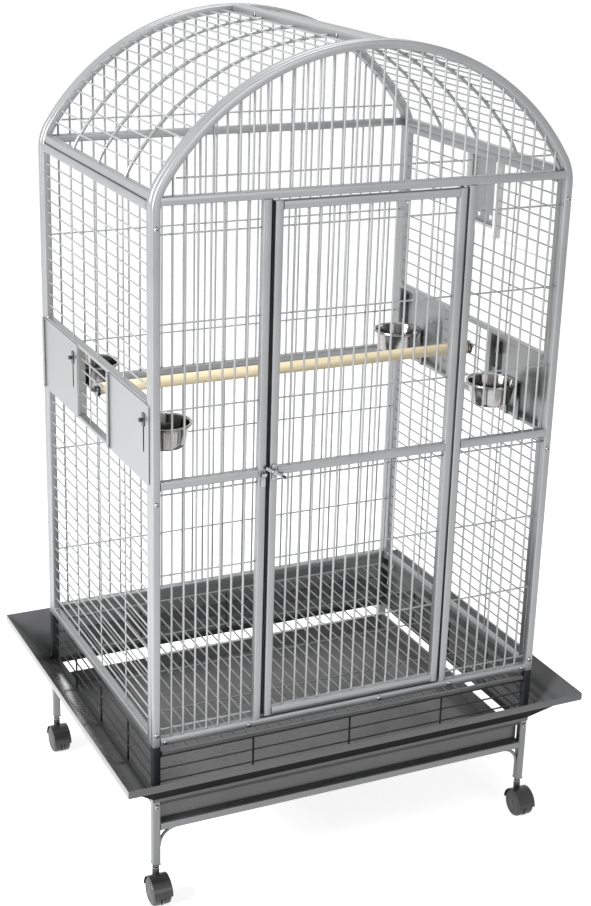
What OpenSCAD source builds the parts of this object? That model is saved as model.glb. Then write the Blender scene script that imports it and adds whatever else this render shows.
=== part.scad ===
// Dome top parrot cage on a castered stand.
// Front faces -Y, X runs to the right and Z is up. The origin is on the floor, under the cage's middle.
// Lengths are millimetres. Wall panels are welded square tube with wire grilles, and they are bolted
// together at their edges.

/* [Cage body] */
// Width across the front and back frames
body_w = 1016; // [940:4:1100]
// Depth from the front frame's face to the back frame's face
body_d = 780; // [720:4:860]
// Height of the wall panels' undersides above the floor
panel_z = 411; // [405:1:430]
// Height of the front and back panels, up to the top of their top rails
panel_h = 1263; // [1230:1:1320]
// Rise of the dome above the top rails
dome_rise = 300; // [270:1:330]
// Height of the mid rails' undersides above the panels' undersides
mid_rail_up = 625; // [605:1:642]

/* [Frame tube] */
// Side of the square tube
tube = 19; // [17:0.5:22]
// Wall of the square tube
tube_wall = 1.5; // [1:0.1:2]
// Outside radius of the bend from each post into the arch
bend_r = 120; // [100:2:130]
// Drop of the seam between side panels and dome below the top rails' top
seam_drop = 15; // [10:1:18]

/* [Wires] */
// Spacing of the bars, centre to centre
bar_pitch = 29.5; // [26:0.5:34]
// Diameter of the upright bars of the front, back and door
bar_d = 5; // [4:0.5:6]
// Diameter of the side, dome and cross wires
wire_d = 4; // [3:0.5:5]
// Diameter of the three curved rods under the dome
rod_d = 8; // [6:0.5:10]
// Drop of the front's first cross wire below the top rail, and the spacing of the rest
front_cross = [61, 191];
// Drop of the back's first cross wire below the top rail, and the spacing of the rest
back_cross = [224, 280];
// Depth that welded wire ends reach into a tube
weld = 1; // [0.5:0.1:1.4]

/* [Front door] */
// Width of the door
door_w = 464; // [390:2:500]
// Gap above, below and on the hinge side of the door
door_gap = 5; // [4.5:0.5:8]
// Gap at the door's free edge
free_gap = 8.5; // [5:0.5:10]
// Diameter of the door's two pivot pins
pivot_d = 8; // [6:0.5:9]
// Length of each pivot pin that stands in the door
pivot_in = 16; // [10:1:20]
// Radial clearance of a pin in its bore
pin_fit = 0.05; // [0.02:0.01:0.1]

/* [Feeder stations] */
// Height of the feeder openings' lower edge above the panels' undersides
feeder_up = 639; // [632:1:650]
// Height of a feeder opening
feeder_h = 170; // [150:1:180]
// Distance from the middle of the side to a feeder opening
feeder_in = 120; // [110:1:140]
// Width of the strips that frame the openings
strip = 10; // [8:0.5:12]
// Thickness of the door plates
plate = 1.5; // [1:0.1:2]
// Gap between a plate and the frame that it covers
plate_gap = 0.4; // [0.3:0.1:1]
// Height of the finger slot in a feeder door
slot_h = 90; // [70:1:100]
// Width of the finger slot
slot_w = 8; // [6:0.5:10]

/* [Bowls] */
// Diameter of a bowl's rim
bowl_d = 126; // [110:1:128]
// Depth of a bowl
bowl_h = 56; // [40:1:64]
// Wall of a bowl
bowl_wall = 1; // [0.8:0.1:1.5]
// Width of the flange that rests on the ring
bowl_flange = 6; // [5:0.5:8]
// Height of the rims above the feeder openings' lower edge
bowl_up = 90; // [80:1:100]
// Diameter of the ring wire
ring_d = 5; // [4:0.5:6]

/* [Nest door] */
// Width of the nest door's plate
nest_w = 152; // [130:1:170]
// Height of the nest door's plate
nest_h = 172; // [150:1:190]
// Distance of the nest door's middle behind the cage's middle
nest_y = -22; // [-30:1:0]

/* [Perch] */
// Diameter of the wooden perch
perch_d = 28; // [22:1:34]
// Thickness of the washers at the perch's ends
washer_t = 3; // [2:0.5:4]

/* [Base and stand] */
// Height of the legs' bottom ends above the floor
leg_z = 98; // [95:1:104]
// Height of the lower rails' undersides
rail_z = 188; // [176:1:190]
// Height of the upper ring's underside
ring_z = 257; // [252:1:264]
// Height of the grate's underside
grate_z = 387; // [386:1:390]
// Height of the tray walls
tray_h = 38; // [30:1:40]
// Gap behind the tray
tray_back_gap = 36; // [20:1:80]
// Sheet thickness of the tray and the skirts
sheet = 1.2; // [1:0.1:1.6]
// Reach of the skirts beyond the cage
skirt_out = 93; // [80:1:110]
// Height of the skirts' outer edge above the floor
lip_z = 372; // [350:1:376]
// Depth of the folded lip
lip_h = 20; // [14:1:24]
// Height of the flange by which a skirt is fixed to the stand's ring
flange = 9; // [7:0.5:10]

/* [Casters] */
// Diameter of the caster wheels
wheel_d = 70; // [60:2:72]
// Width of one of the twin wheels
wheel_w = 19; // [16:0.5:22]
// Distance of the axle from the swivel axis
trail = 18; // [14:1:22]
// Diameter of the caster's stem
stem_d = 11; // [9:0.5:12]

/* [Hidden] */
$fn = 48;
half_w = body_w / 2;
half_d = body_d / 2;
top_z = panel_z + panel_h;
seam_z = top_z - seam_drop;
arch_top = top_z + dome_rise;
arch_r = (pow(half_w, 2) + pow(dome_rise, 2)) / (2 * dome_rise);
arch_z = arch_top - arch_r;
bend_x = half_w - bend_r;
bend_z = arch_z + sqrt(pow(arch_r - bend_r, 2) - pow(bend_x, 2));
bend_a = atan2(bend_z - arch_z, bend_x);
bend_lap = 0.4;
bend_skin = 0.02;
side_half = half_d - tube;
inner_x = half_w - tube;
inner_y = side_half - tube;
low_z = panel_z + tube;
mid_z = panel_z + mid_rail_up;
door_half = door_w / 2;
free_edge = -door_half - free_gap;
hinge_edge = door_half + door_gap;
door_z0 = low_z + door_gap;
door_z1 = top_z - tube - door_gap;
pivot_x = door_half - tube / 2;
bar_y = half_d - tube / 2;
wire_x_mid = half_w - tube / 2;
feeder_z0 = panel_z + feeder_up;
feeder_z1 = feeder_z0 + feeder_h;
plate_y0 = feeder_in - strip + 1;
plate_y1 = side_half - 1;
plate_z0 = feeder_z0 - strip / 2;
plate_z1 = feeder_z1 + strip / 2;
plate_x = half_w + plate_gap;
hinge_r = 4;
hinge_pin_r = 2;
hinge_x = plate_x + hinge_r;
lug_h = 6;
slot_y = plate_y1 - 30;
slot_z0 = feeder_z0 + 62;
slider_h = 30;
latch_gap = 0.4;
hinge_y = plate_y0 + hinge_r;
station_step = plate_y0 + plate_y1;
sill_h = 22;
nest_lap = 8;
button_z = -7;
bowl_y = (feeder_in + inner_y) / 2 + 4;
bowl_x = inner_x - bowl_d / 2 - 2;
rim_z = feeder_z0 + bowl_up;
ring_r = bowl_d / 2 - bowl_flange + ring_d / 2 + 0.5;
ring_mid_z = rim_z - bowl_wall - ring_d / 2 - 0.3;
nest_z1 = seam_z - tube;
nest_z0 = nest_z1 - nest_h;
nest_pin_z = nest_z1 + tube / 2;
middle_wires = places(feeder_z0, feeder_z1);
perch_wire = floor(len(middle_wires) / 2);
perch_z = (middle_wires[perch_wire] + middle_wires[perch_wire + 1]) / 2;
perch_half = wire_x_mid - wire_d / 2 - 0.3 - washer_t;
ring_top = ring_z + tube;
rail_top = rail_z + tube;
tray_half = inner_x - 12;
tray_z = rail_top + 0.5;
grate_half = inner_x - 3;
fence_top = grate_z - 7;
fence_pitch = 33;
axle_z = wheel_d / 2;
hood_r = wheel_d / 2 + 3;
web = 6;
stem_up = 26;
swivel_x = half_w - tube / 2;
swivel_y = half_d - tube / 2;
bolt_d = 6;
head_d = 12;

paint = [0.66, 0.67, 0.68];
dark = [0.22, 0.22, 0.23];
steel = [0.78, 0.78, 0.80];
timber = [0.87, 0.80, 0.62];
black = [0.09, 0.09, 0.10];

SIDES = ["left", "right"];
ENDS = ["front", "back"];

// Number of bars that fill an opening at the bar pitch, and their places from one edge to the other
function bar_count(w) = max(1, round(w / bar_pitch) - 1);
function places(a, b) = [for (k = [1:bar_count(b - a)]) a + (b - a) * k / (bar_count(b - a) + 1)];
// Heights of cross wires between two levels, for a drop below the top rail and a spacing
function cross_at(rule, z0, z1) =
    [for (k = [0:9]) let (z = top_z - tube - rule[0] - k * rule[1]) if (z > z0 + bar_d && z < z1 - bar_d) z];
// Underside of the arch at a distance from the middle
function arch_under(x) = arch_z + sqrt(pow(arch_r - tube, 2) - pow(x, 2));

// Square tubes along the three axes, from their lowest corner
module tube_x(p, len) {
    translate(p) difference() {
        cube([len, tube, tube]);
        translate([-1, tube_wall, tube_wall]) cube([len + 2, tube - 2 * tube_wall, tube - 2 * tube_wall]);
    }
}
module tube_y(p, len) {
    translate(p) difference() {
        cube([tube, len, tube]);
        translate([tube_wall, -1, tube_wall]) cube([tube - 2 * tube_wall, len + 2, tube - 2 * tube_wall]);
    }
}
module tube_z(p, len) {
    translate(p) difference() {
        cube([tube, tube, len]);
        translate([tube_wall, tube_wall, -1]) cube([tube - 2 * tube_wall, tube - 2 * tube_wall, len + 2]);
    }
}
// A bent stretch of square tube, about a centre in the XZ plane, between two angles from +X towards +Z.
// Its skin can lie a hair inside the walls of the stretches that it laps into.
module tube_arc(cx, cz, r, a0, a1, y, skin = 0) {
    translate([cx, y + tube, cz]) rotate([90, 0, 0]) rotate([0, 0, a0])
        rotate_extrude(angle = a1 - a0, $fn = 180) difference() {
            translate([r - tube + skin, skin]) square(tube - 2 * skin);
            translate([r - tube + tube_wall - skin, tube_wall - skin]) square(tube - 2 * (tube_wall - skin));
        }
}
module tube_bend(a0, a1, y) tube_arc(bend_x, bend_z, bend_r, a0 - bend_lap, a1 + bend_lap, y, bend_skin);
module rod_arc(cx, cz, r, d, a0, a1, y) {
    translate([cx, y, cz]) rotate([90, 0, 0]) rotate([0, 0, a0])
        rotate_extrude(angle = a1 - a0, $fn = 180) translate([r, 0]) circle(d = d, $fn = 24);
}
module wire_x(x0, x1, y, z, d) translate([x0, y, z]) rotate([0, 90, 0])
    cylinder(d = d, h = x1 - x0, $fn = 16);
module wire_y(y0, y1, x, z, d) translate([x, y0, z]) rotate([-90, 0, 0])
    cylinder(d = d, h = y1 - y0, $fn = 16);
module wire_z(z0, z1, x, y, d) translate([x, y, z0]) cylinder(d = d, h = z1 - z0, $fn = 16);

// Front and back panels: posts that run on into the arch, with top, middle and bottom rails
module hoop(y) {
    for (s = [-1, 1]) tube_z([s * wire_x_mid - tube / 2, y, panel_z], bend_z - panel_z);
    for (flip = [0, 1]) mirror([flip, 0, 0]) tube_bend(0, bend_a, y);
    tube_arc(0, arch_z, arch_r, bend_a, 180 - bend_a, y);
    tube_x([-inner_x, y, panel_z], 2 * inner_x);
    tube_x([-inner_x, y, top_z - tube], 2 * inner_x);
}
module front_frame() {
    color(paint) difference() {
        union() {
            hoop(-half_d);
            for (x = [free_edge - tube, hinge_edge]) tube_z([x, -half_d, low_z], top_z - tube - low_z);
            tube_x([-inner_x, -half_d, mid_z], inner_x + free_edge - tube);
            tube_x([hinge_edge + tube, -half_d, mid_z], inner_x - hinge_edge - tube);
        }
        translate([pivot_x, -bar_y, panel_z - 1]) cylinder(d = pivot_d, h = tube + 2);
        translate([pivot_x, -bar_y, top_z - tube - 1]) cylinder(d = pivot_d, h = tube_wall + 2);
    }
}

// Upright bars between two edges, welded to cross wires behind them
module bar_field(x0, x1, z0, z1, y, back, rule) {
    for (x = places(x0, x1)) wire_z(z0 - weld, z1 + weld, x, y, bar_d);
    for (z = cross_at(rule, z0, z1))
        wire_x(x0 - weld, x1 + weld, y + back * (bar_d + wire_d - 1) / 2, z, wire_d);
}
module arch_field(y, back) {
    for (x = places(-inner_x, inner_x)) wire_z(top_z - weld, arch_under(x) + tube_wall, x, y, bar_d);
    wire_x(-inner_x + 2 * tube, inner_x - 2 * tube, y + back * (bar_d + wire_d - 1) / 2,
        arch_under(inner_x - 2 * tube) - tube, wire_d);
}
module front_bars(x0, x1) {
    color(paint) {
        bar_field(x0, x1, low_z, mid_z, -bar_y, 1, front_cross);
        bar_field(x0, x1, mid_z + tube, top_z - tube, -bar_y, 1, front_cross);
    }
}
module front_bars_arch() color(paint) arch_field(-bar_y, 1);

// The large door swings on a pin at the top and one at the bottom of its right stile
module door_stile(x) {
    h = door_z1 - door_z0;
    plug = pivot_in + 4;
    translate([x, -half_d, door_z0]) difference() {
        cube([tube, tube, h]);
        translate([tube_wall, tube_wall, plug])
            cube([tube - 2 * tube_wall, tube - 2 * tube_wall, h - 2 * plug]);
    }
}
module door_frame() {
    color(paint) difference() {
        union() {
            door_stile(-door_half);
            door_stile(door_half - tube);
            for (z = [door_z0, mid_z, door_z1 - tube])
                tube_x([-door_half + tube, -half_d, z], 2 * (door_half - tube));
        }
        for (z = [door_z0 - 1, door_z1 - pivot_in])
            translate([pivot_x, -bar_y, z]) cylinder(r = pivot_d / 2 + pin_fit, h = pivot_in + 1);
    }
}
module door_bars() {
    x = door_half - tube;
    color(paint) {
        bar_field(-x, x, door_z0 + tube, mid_z, -bar_y, 1, front_cross);
        bar_field(-x, x, mid_z + tube, door_z1 - tube, -bar_y, 1, front_cross);
    }
}

// Lever latch at the middle of the door's free edge. It is drawn lifted clear of the hook on the fixed
// stile, which catches its tongue when the lever is level.
latch_x = -door_half + tube / 2;
latch_z = mid_z + tube / 2;
latch_plate_t = 4;
latch_lift = 30;
latch_pin_r = 3;
tongue_len = tube / 2 + free_gap + 10;
tongue_h = 10;
tongue_t = 3;
hook_w = 12;
module door_latch_plate() {
    color(steel) translate([latch_x, -half_d, latch_z]) rotate([90, 0, 0]) difference() {
        translate([-tube / 2 + 1.5, -24, 0]) cube([tube - 3, 48, latch_plate_t]);
        translate([0, 0, -1]) cylinder(r = latch_pin_r + pin_fit, h = latch_plate_t + 2);
        for (s = [-1, 1]) translate([0, s * 17, latch_plate_t - 1]) cylinder(d = 9, h = 2);
    }
}
module door_latch() {
    handle_len = 26;
    color(steel) translate([latch_x, -half_d - latch_plate_t - latch_gap, latch_z])
    rotate([0, latch_lift, 0]) {
        translate([-tongue_len, -tongue_t, -tongue_h / 2]) cube([tongue_len, tongue_t, tongue_h]);
        translate([0, latch_gap + latch_plate_t - 0.5, 0]) rotate([90, 0, 0])
            cylinder(r = latch_pin_r, h = latch_plate_t + latch_gap + tongue_t - 0.5);
        rotate([90, 0, 0]) cylinder(d = 18, h = 7);
        translate([0, -tongue_t, -4]) cube([handle_len, tongue_t, 8]);
        translate([handle_len, -tongue_t - 9, -4]) cube([3, 9 + tongue_t, 8]);
    }
}
module latch_keeper() {
    seat = latch_z - tongue_h / 2 - latch_gap;
    depth = latch_plate_t + tongue_t + 2 * latch_gap;
    color(steel) translate([free_edge - 3 - hook_w, -half_d, 0]) {
        translate([0, -latch_plate_t, seat - 26]) cube([hook_w, latch_plate_t, 34]);
        translate([0, -depth, seat - 4]) cube([hook_w, depth, 4]);
        translate([0, -depth - 2, seat - 4]) cube([hook_w, 2, 4 + tongue_h / 2 + 2]);
    }
}

module back_frame() {
    color(paint) {
        hoop(half_d - tube);
        tube_x([-inner_x, half_d - tube, mid_z], 2 * inner_x);
    }
}
module back_bars() {
    color(paint) {
        bar_field(-inner_x, inner_x, low_z, mid_z, bar_y, -1, back_cross);
        bar_field(-inner_x, inner_x, mid_z + tube, top_z - tube, bar_y, -1, back_cross);
        arch_field(bar_y, -1);
    }
}

// Side panel, drawn on the left. The right one is the same panel turned half round, with the nest opening.
module strip_y(y0, y1, z, h) translate([-half_w, y0, z]) cube([tube, y1 - y0, h]);
module hinge_lugs(y) for (z = [plate_z0, plate_z1 - lug_h]) translate([-hinge_x, y, z]) {
    cylinder(r = hinge_r, h = lug_h);
    translate([0, -hinge_r, 0]) cube([hinge_x - half_w, 2 * hinge_r, lug_h]);
}
module side_frame(nest) {
    color(paint) difference() {
        union() {
            for (s = [-1, 1]) {
                tube_z([-half_w, s * (side_half - tube / 2) - tube / 2, panel_z], seam_z - panel_z);
                translate([-half_w, s * (feeder_in - strip / 2) - strip / 2, feeder_z0])
                    cube([tube, strip, feeder_h]);
            }
            for (z = [panel_z, seam_z - tube]) tube_y([-half_w, -inner_y, z], 2 * inner_y);
            for (z = [feeder_z0 - strip, feeder_z1]) strip_y(-inner_y, inner_y, z, strip);
            for (step = [0, station_step]) hinge_lugs(step - hinge_y);
            if (nest) nest_surround();
        }
        for (step = [0, station_step]) translate([-hinge_x, step - hinge_y, plate_z0 - 1])
            cylinder(r = hinge_pin_r, h = plate_z1 - plate_z0 + 2);
        if (nest) {
            translate([nest_pin_x, -nest_y - nest_w, nest_pin_z]) rotate([-90, 0, 0])
                cylinder(r = hinge_pin_r, h = 2 * nest_w);
            translate([-half_w - 1, -nest_y, nest_z0 + button_z]) rotate([0, 90, 0])
                cylinder(r = latch_pin_r + pin_fit, h = 13);
        }
    }
}
// Sill, jambs and hinge lugs round the nest opening, and the wire that carries the uprights beside the sill
nest_open_w = nest_w - 2 * nest_lap;
nest_sill_z = nest_z0 + nest_lap - sill_h;
nest_edge = [-nest_y - nest_open_w / 2 - strip, -nest_y + nest_open_w / 2 + strip];
module nest_surround() {
    for (y = [nest_edge[0], nest_edge[1] - strip])
        translate([-half_w, y, nest_z0 + nest_lap]) cube([tube, strip, nest_h - nest_lap]);
    strip_y(nest_edge[0], nest_edge[1], nest_sill_z, sill_h);
    wire_y(-inner_y - weld, inner_y + weld, -wire_x_mid, nest_sill_z - wire_d / 2 + 0.5, wire_d);
    for (s = [-1, 1])
        translate([nest_pin_x, -nest_y + s * (nest_w / 2 + 1 + lug_h / 2), nest_pin_z])
            cube([2 * hinge_r, lug_h, 2 * hinge_r], center = true);
}
// Level wires with uprights behind them, in the plane of the left side panel
module side_field(y0, y1, z0, z1, uprights) {
    for (z = places(z0, z1)) wire_y(y0 - weld, y1 + weld, -wire_x_mid, z, wire_d);
    for (y = uprights) wire_z(z0 - weld, z1 + weld, -wire_x_mid + wire_d - 0.5, y, wire_d);
}
module side_bars(nest) {
    q = inner_y / 2;
    rod_z = nest_sill_z - wire_d + 0.5;
    color(paint) {
        side_field(-inner_y, inner_y, low_z, feeder_z0 - strip, [-q, 0, q]);
        side_field(-feeder_in + strip, feeder_in - strip, feeder_z0, feeder_z1, [-q / 3, q / 3]);
        if (nest) {
            side_field(-inner_y, inner_y, feeder_z1 + strip, rod_z, [-q, 0, q]);
            side_field(-inner_y, nest_edge[0], rod_z + wire_d, seam_z - tube, [-q]);
            side_field(nest_edge[1], inner_y, rod_z + wire_d, seam_z - tube, [q]);
        } else side_field(-inner_y, inner_y, feeder_z1 + strip, seam_z - tube, [-q, 0, q]);
    }
}

// Half of the dome, drawn on the right
module dome_frame() {
    tuck = 0.4;
    rail_x = bend_x + sqrt(pow(bend_r, 2) - pow(seam_z + tube - bend_z, 2)) - tuck;
    rod_in = tube / 2 + wire_d / 2 + rod_d / 2 - 0.6;
    ridge_z = arch_z + sqrt(pow(arch_r, 2) - pow(tube, 2)) - tuck;
    color(paint) difference() {
        union() {
            for (y = [-side_half, side_half - tube]) {
                tube_arc(0, arch_z, arch_r, bend_a, 90 - asin(tuck / arch_r), y);
                tube_bend(0, bend_a, y);
            }
            for (p = [[rail_x - tube, seam_z], [0, ridge_z - tube]])
                tube_y([p[0], -inner_y - tube_wall / 2, p[1]], 2 * inner_y + tube_wall);
            for (k = [-1, 0, 1]) {
                rod_arc(0, arch_z, arch_r - rod_in, rod_d, bend_a, 90 - 1.4, k * inner_y / 2);
                rod_arc(bend_x, bend_z, bend_r - rod_in, rod_d - 2 * bend_skin, 14, bend_a + bend_lap,
                    k * inner_y / 2);
            }
        }
        translate([0, -half_d, seam_z - 2 * bend_r]) cube([2 * half_w, body_d, 2 * bend_r]);
    }
}
module dome_bars() {
    r = arch_r - tube / 2;
    a0 = bend_a - 2;
    a1 = 90 - asin(tube / r);
    n = round((a1 - a0) * PI / 180 * r / bar_pitch) - 1;
    color(paint) for (k = [1:n]) {
        a = a0 + (a1 - a0) * k / (n + 1);
        wire_y(-inner_y - weld, inner_y + weld, r * cos(a), arch_z + r * sin(a), wire_d);
    }
}

// Bolts: post to post, along the bottom rail, through the ridge and into the legs
module bolt(p, turn, len) {
    translate(p) rotate(turn) {
        cylinder(d = bolt_d, h = len);
        translate([0, 0, -head_h]) difference() {
            cylinder(d = head_d, h = head_h);
            translate([0, 0, -1]) cylinder(d = key_d, h = head_h / 2 + 1, $fn = 6);
        }
    }
}
head_h = 4;
key_d = 5;
bolt_end = 8;
corner_bolt = 30;
post_bolt_up = 594;
post_bolt_drop = 66;
ridge_bolt_y = 218;
leg_bolt_drop = 4;
post_bolts_z = [panel_z + corner_bolt, panel_z + post_bolt_up, top_z - post_bolt_drop];
middle_bolt_x = 73;
rail_bolts_x = [-half_w + corner_bolt, free_edge - corner_bolt, middle_bolt_x, hinge_edge + corner_bolt,
    half_w - corner_bolt];
module frame_bolts() {
    color(steel) {
        for (s = [-1, 1]) for (e = [-1, 1]) {
            for (z = post_bolts_z) bolt([s * wire_x_mid, e * half_d, z], [e * 90, 0, 0], tube + bolt_end);
            bolt([s * wire_x_mid, e * half_d, ring_z - leg_bolt_drop], [e * 90, 0, 0], bolt_end);
        }
        for (x = rail_bolts_x) bolt([x, -half_d, panel_z + tube / 2], [-90, 0, 0], bolt_end);
        for (k = [-1, 1])
            bolt([-tube, k * ridge_bolt_y, arch_top - tube / 2 - 1], [0, 90, 0], 2 * (tube - 2));
    }
}

// Feeder doors: a plate with a rolled hinge on one edge and a slot for the latch near the other
module feeder_door() {
    roll_z0 = plate_z0 + lug_h + 0.5;
    roll_h = plate_z1 - plate_z0 - 2 * lug_h - 1;
    color(paint) difference() {
        union() {
            translate([-plate_x - plate, -plate_y1, plate_z0])
                cube([plate, plate_y1 - plate_y0 - 2 * hinge_r - 0.5, plate_z1 - plate_z0]);
            translate([-plate_x - plate, -plate_y0 - 2 * hinge_r - 1, roll_z0])
                cube([plate, hinge_r + 1, roll_h]);
            translate([-hinge_x, -hinge_y, roll_z0]) cylinder(r = hinge_r, h = roll_h);
        }
        translate([-hinge_x, -hinge_y, plate_z0])
            cylinder(r = hinge_pin_r + pin_fit, h = plate_z1 - plate_z0);
        translate([-plate_x - plate - 1, -slot_y - slot_w / 2, slot_z0]) cube([plate + 2, slot_w, slot_h]);
    }
}
// Tabs on the uprights at the doors' free edges, which the latches' ears slide behind
module feeder_catches() {
    tip = slot_y + slot_w / 2 + 1;
    color(paint) for (turn = [0, 180]) rotate([0, 0, turn]) translate([-half_w + 5, 0, slot_z0 - 6]) {
        translate([0, -inner_y, 0]) cube([3, inner_y - tip, 26]);
        translate([0, feeder_in, 0]) cube([3, station_step - tip - feeder_in, 26]);
    }
}
// Sliding latch, drawn at the top of its slot. At the bottom, its ear is behind the tab on the frame.
module feeder_latch() {
    z = slot_z0 + slot_h - slider_h - latch_gap;
    color(dark) translate([-half_w, -slot_y, z]) {
        translate([-plate_gap - plate - latch_gap - 2, -7, 0]) cube([2, 14, slider_h]);
        translate([-plate_gap - plate - latch_gap - 1, -slot_w / 2 + latch_gap, 0])
            cube([plate + plate_gap + latch_gap + 13, slot_w - 2 * latch_gap, slider_h]);
        translate([9, -10, 0]) cube([3, 10, 14]);
        translate([-plate_gap - plate - latch_gap - 11, 0, slider_h / 2]) rotate([0, 90, 0])
            cylinder(d = 10, h = 10);
    }
}

// Ring holder: a wire ring on two arms that are bolted to the strip under the feeder opening
module bowl_ring() {
    arm = 4;
    arm_w = 12;
    arm_y = 26;
    color(steel) {
        translate([-bowl_x, -bowl_y, ring_mid_z]) rotate_extrude()
            translate([ring_r, 0]) circle(d = ring_d, $fn = 20);
        for (s = [-1, 1]) {
            translate([-inner_x, -bowl_y + s * arm_y - arm_w / 2, feeder_z0 - strip])
                cube([arm, arm_w, ring_mid_z - feeder_z0 + strip + arm / 2]);
            translate([-inner_x, -bowl_y + s * arm_y - arm_w / 2, ring_mid_z - arm / 2])
                cube([inner_x - bowl_x - sqrt(pow(ring_r, 2) - pow(arm_y, 2)), arm_w, arm]);
        }
    }
}
module bowl() {
    r1 = bowl_d / 2 - bowl_flange;
    r0 = r1 - 9;
    color(steel) translate([-bowl_x, -bowl_y, rim_z - bowl_h]) rotate_extrude() {
        polygon([[0, 0], [r0 - 6, 0], [r0, 6], [r1, bowl_h - bowl_wall], [bowl_d / 2, bowl_h - bowl_wall],
            [bowl_d / 2, bowl_h], [r1 - bowl_wall, bowl_h], [r0 - bowl_wall, 6 + bowl_wall / 2],
            [r0 - 6, bowl_wall], [0, bowl_wall]]);
    }
}

module perch() {
    color(timber) translate([-perch_half, 0, perch_z]) rotate([0, 90, 0]) difference() {
        cylinder(d = perch_d, h = 2 * perch_half);
        for (z = [-1, 2 * perch_half - 40]) translate([0, 0, z]) cylinder(d = perch_bolt_d, h = 41);
    }
}
// At each end of the perch: a bolt into the wood, a washer on either side of the wires, and a nut outside
perch_bolt_d = 8;
module perch_bolts() {
    outer = wire_x_mid + wire_d / 2 + 0.3;
    color(steel) for (turn = [-90, 90]) translate([0, 0, perch_z]) rotate([0, turn, 0]) {
        translate([0, 0, perch_half - 38]) cylinder(d = perch_bolt_d, h = outer + 14 - perch_half + 38);
        translate([0, 0, perch_half]) cylinder(d = perch_d + 6, h = washer_t);
        translate([0, 0, outer]) cylinder(d = perch_d + 6, h = 2);
        translate([0, 0, outer + 2]) cylinder(d = 15, h = 7, $fn = 6);
    }
}

// Nest box door: hangs from a pin along its top edge, with two finger holes and a turn latch
module nest_door() {
    color(paint) turned() {
        x = -half_w - plate_gap - plate;
        difference() {
            translate([x, -nest_y - nest_w / 2, nest_z0]) cube([plate, nest_w, nest_h + 4]);
            for (s = [-1, 1]) translate([x - 1, -nest_y + s * 27, nest_z0 + 27]) rotate([0, 90, 0])
                cylinder(d = 13, h = plate + 2);
        }
        difference() {
            union() {
                translate([nest_pin_x, -nest_y - nest_w / 2, nest_pin_z]) rotate([-90, 0, 0])
                    cylinder(r = hinge_r - 0.4, h = nest_w);
                translate([x, -nest_y - nest_w / 2, nest_z1 + 2])
                    cube([plate, nest_w, nest_pin_z - nest_z1 - 2]);
            }
            translate([nest_pin_x, -nest_y - nest_w / 2 - 1, nest_pin_z]) rotate([-90, 0, 0])
                cylinder(r = hinge_pin_r + pin_fit, h = nest_w + 2);
        }
    }
}
nest_pin_x = -half_w - hinge_r;
module turned() rotate([0, 0, 180]) children();
// Button that turns on a pin in the sill, drawn level, clear of the door
module nest_latch() {
    reach = plate_gap + plate + latch_gap;
    color(dark) turned() translate([-half_w - reach, -nest_y, nest_z0 + button_z]) {
        translate([-2, -15, -4]) cube([2, 30, 8]);
        rotate([0, 90, 0]) cylinder(r = latch_pin_r, h = reach + 11);
        translate([-7, 0, 0]) rotate([0, 90, 0]) cylinder(d = 8, h = 6);
    }
}

// Pins: two door pivots, four feeder hinge pins and the nest door's pin
pin_end = 0.5;
module hinge_pins() {
    color(steel) {
        pin_out = door_gap + pivot_in - pin_end;
        translate([pivot_x, -bar_y, panel_z]) cylinder(d = pivot_d, h = tube + pin_out);
        translate([pivot_x, -bar_y, door_z1 - pivot_in + pin_end])
            cylinder(d = pivot_d, h = tube - tube_wall + pin_out);
        for (turn = [0, 180]) rotate([0, 0, turn]) for (step = [0, station_step])
            translate([-hinge_x, step - hinge_y, plate_z0])
                cylinder(r = hinge_pin_r, h = plate_z1 - plate_z0);
        turned() translate([nest_pin_x, -nest_y - nest_w / 2 - 1 - lug_h, nest_pin_z]) rotate([-90, 0, 0])
            cylinder(r = hinge_pin_r, h = nest_w + 2 + 2 * lug_h);
    }
}

// Base: corner posts with runners for the grate, and low wire fences, between the stand and the cage
module base_posts() {
    color(dark) for (s = [-1, 1]) {
        for (e = [-1, 1])
            tube_z([s * wire_x_mid - tube / 2, e * bar_y - tube / 2, ring_top], panel_z - ring_top);
        translate([s * (inner_x - runner_w / 2) - runner_w / 2, -half_d, grate_z - 3.5])
            cube([runner_w, body_d, 3]);
    }
}
runner_w = 8;
module fence_x(y) {
    for (z = fence_levels) wire_x(-inner_x, inner_x, y, z, wire_d);
    for (k = [-1, 0, 1]) wire_z(ring_top, fence_top, k * half_w / 2, y, wire_d + 1);
}
module fence_y(x) {
    for (z = fence_levels) wire_y(-side_half, side_half, x, z, wire_d);
    for (k = [-1, 0, 1]) wire_z(ring_top, fence_top, x, k * half_d / 2, wire_d + 1);
}
fence_levels = [for (k = [0:2]) fence_top - k * fence_pitch];
module base_fences() {
    color(dark) {
        for (e = [-1, 1]) fence_x(e * bar_y);
        for (s = [-1, 1]) fence_y(s * wire_x_mid);
    }
}
module grate() {
    y0 = -half_d + 2;
    y1 = half_d - tube - 4;
    edge = 8;
    top = grate_z + edge;
    color(paint) {
        for (x = places(-grate_half + edge, grate_half - edge))
            wire_y(y0 + 2, y1 - 2, x, top - wire_d / 2, wire_d);
        for (x = [-grate_half, grate_half - edge]) translate([x, y0, grate_z]) cube([edge, y1 - y0, edge]);
        for (y = [y0, y1 - edge]) translate([-grate_half, y, grate_z]) cube([2 * grate_half, edge, edge]);
        for (k = [1:3])
            wire_x(-grate_half + 2, grate_half - 2, y0 + (y1 - y0) * k / 4, grate_z + 2, wire_d - 0.5);
    }
}
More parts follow.
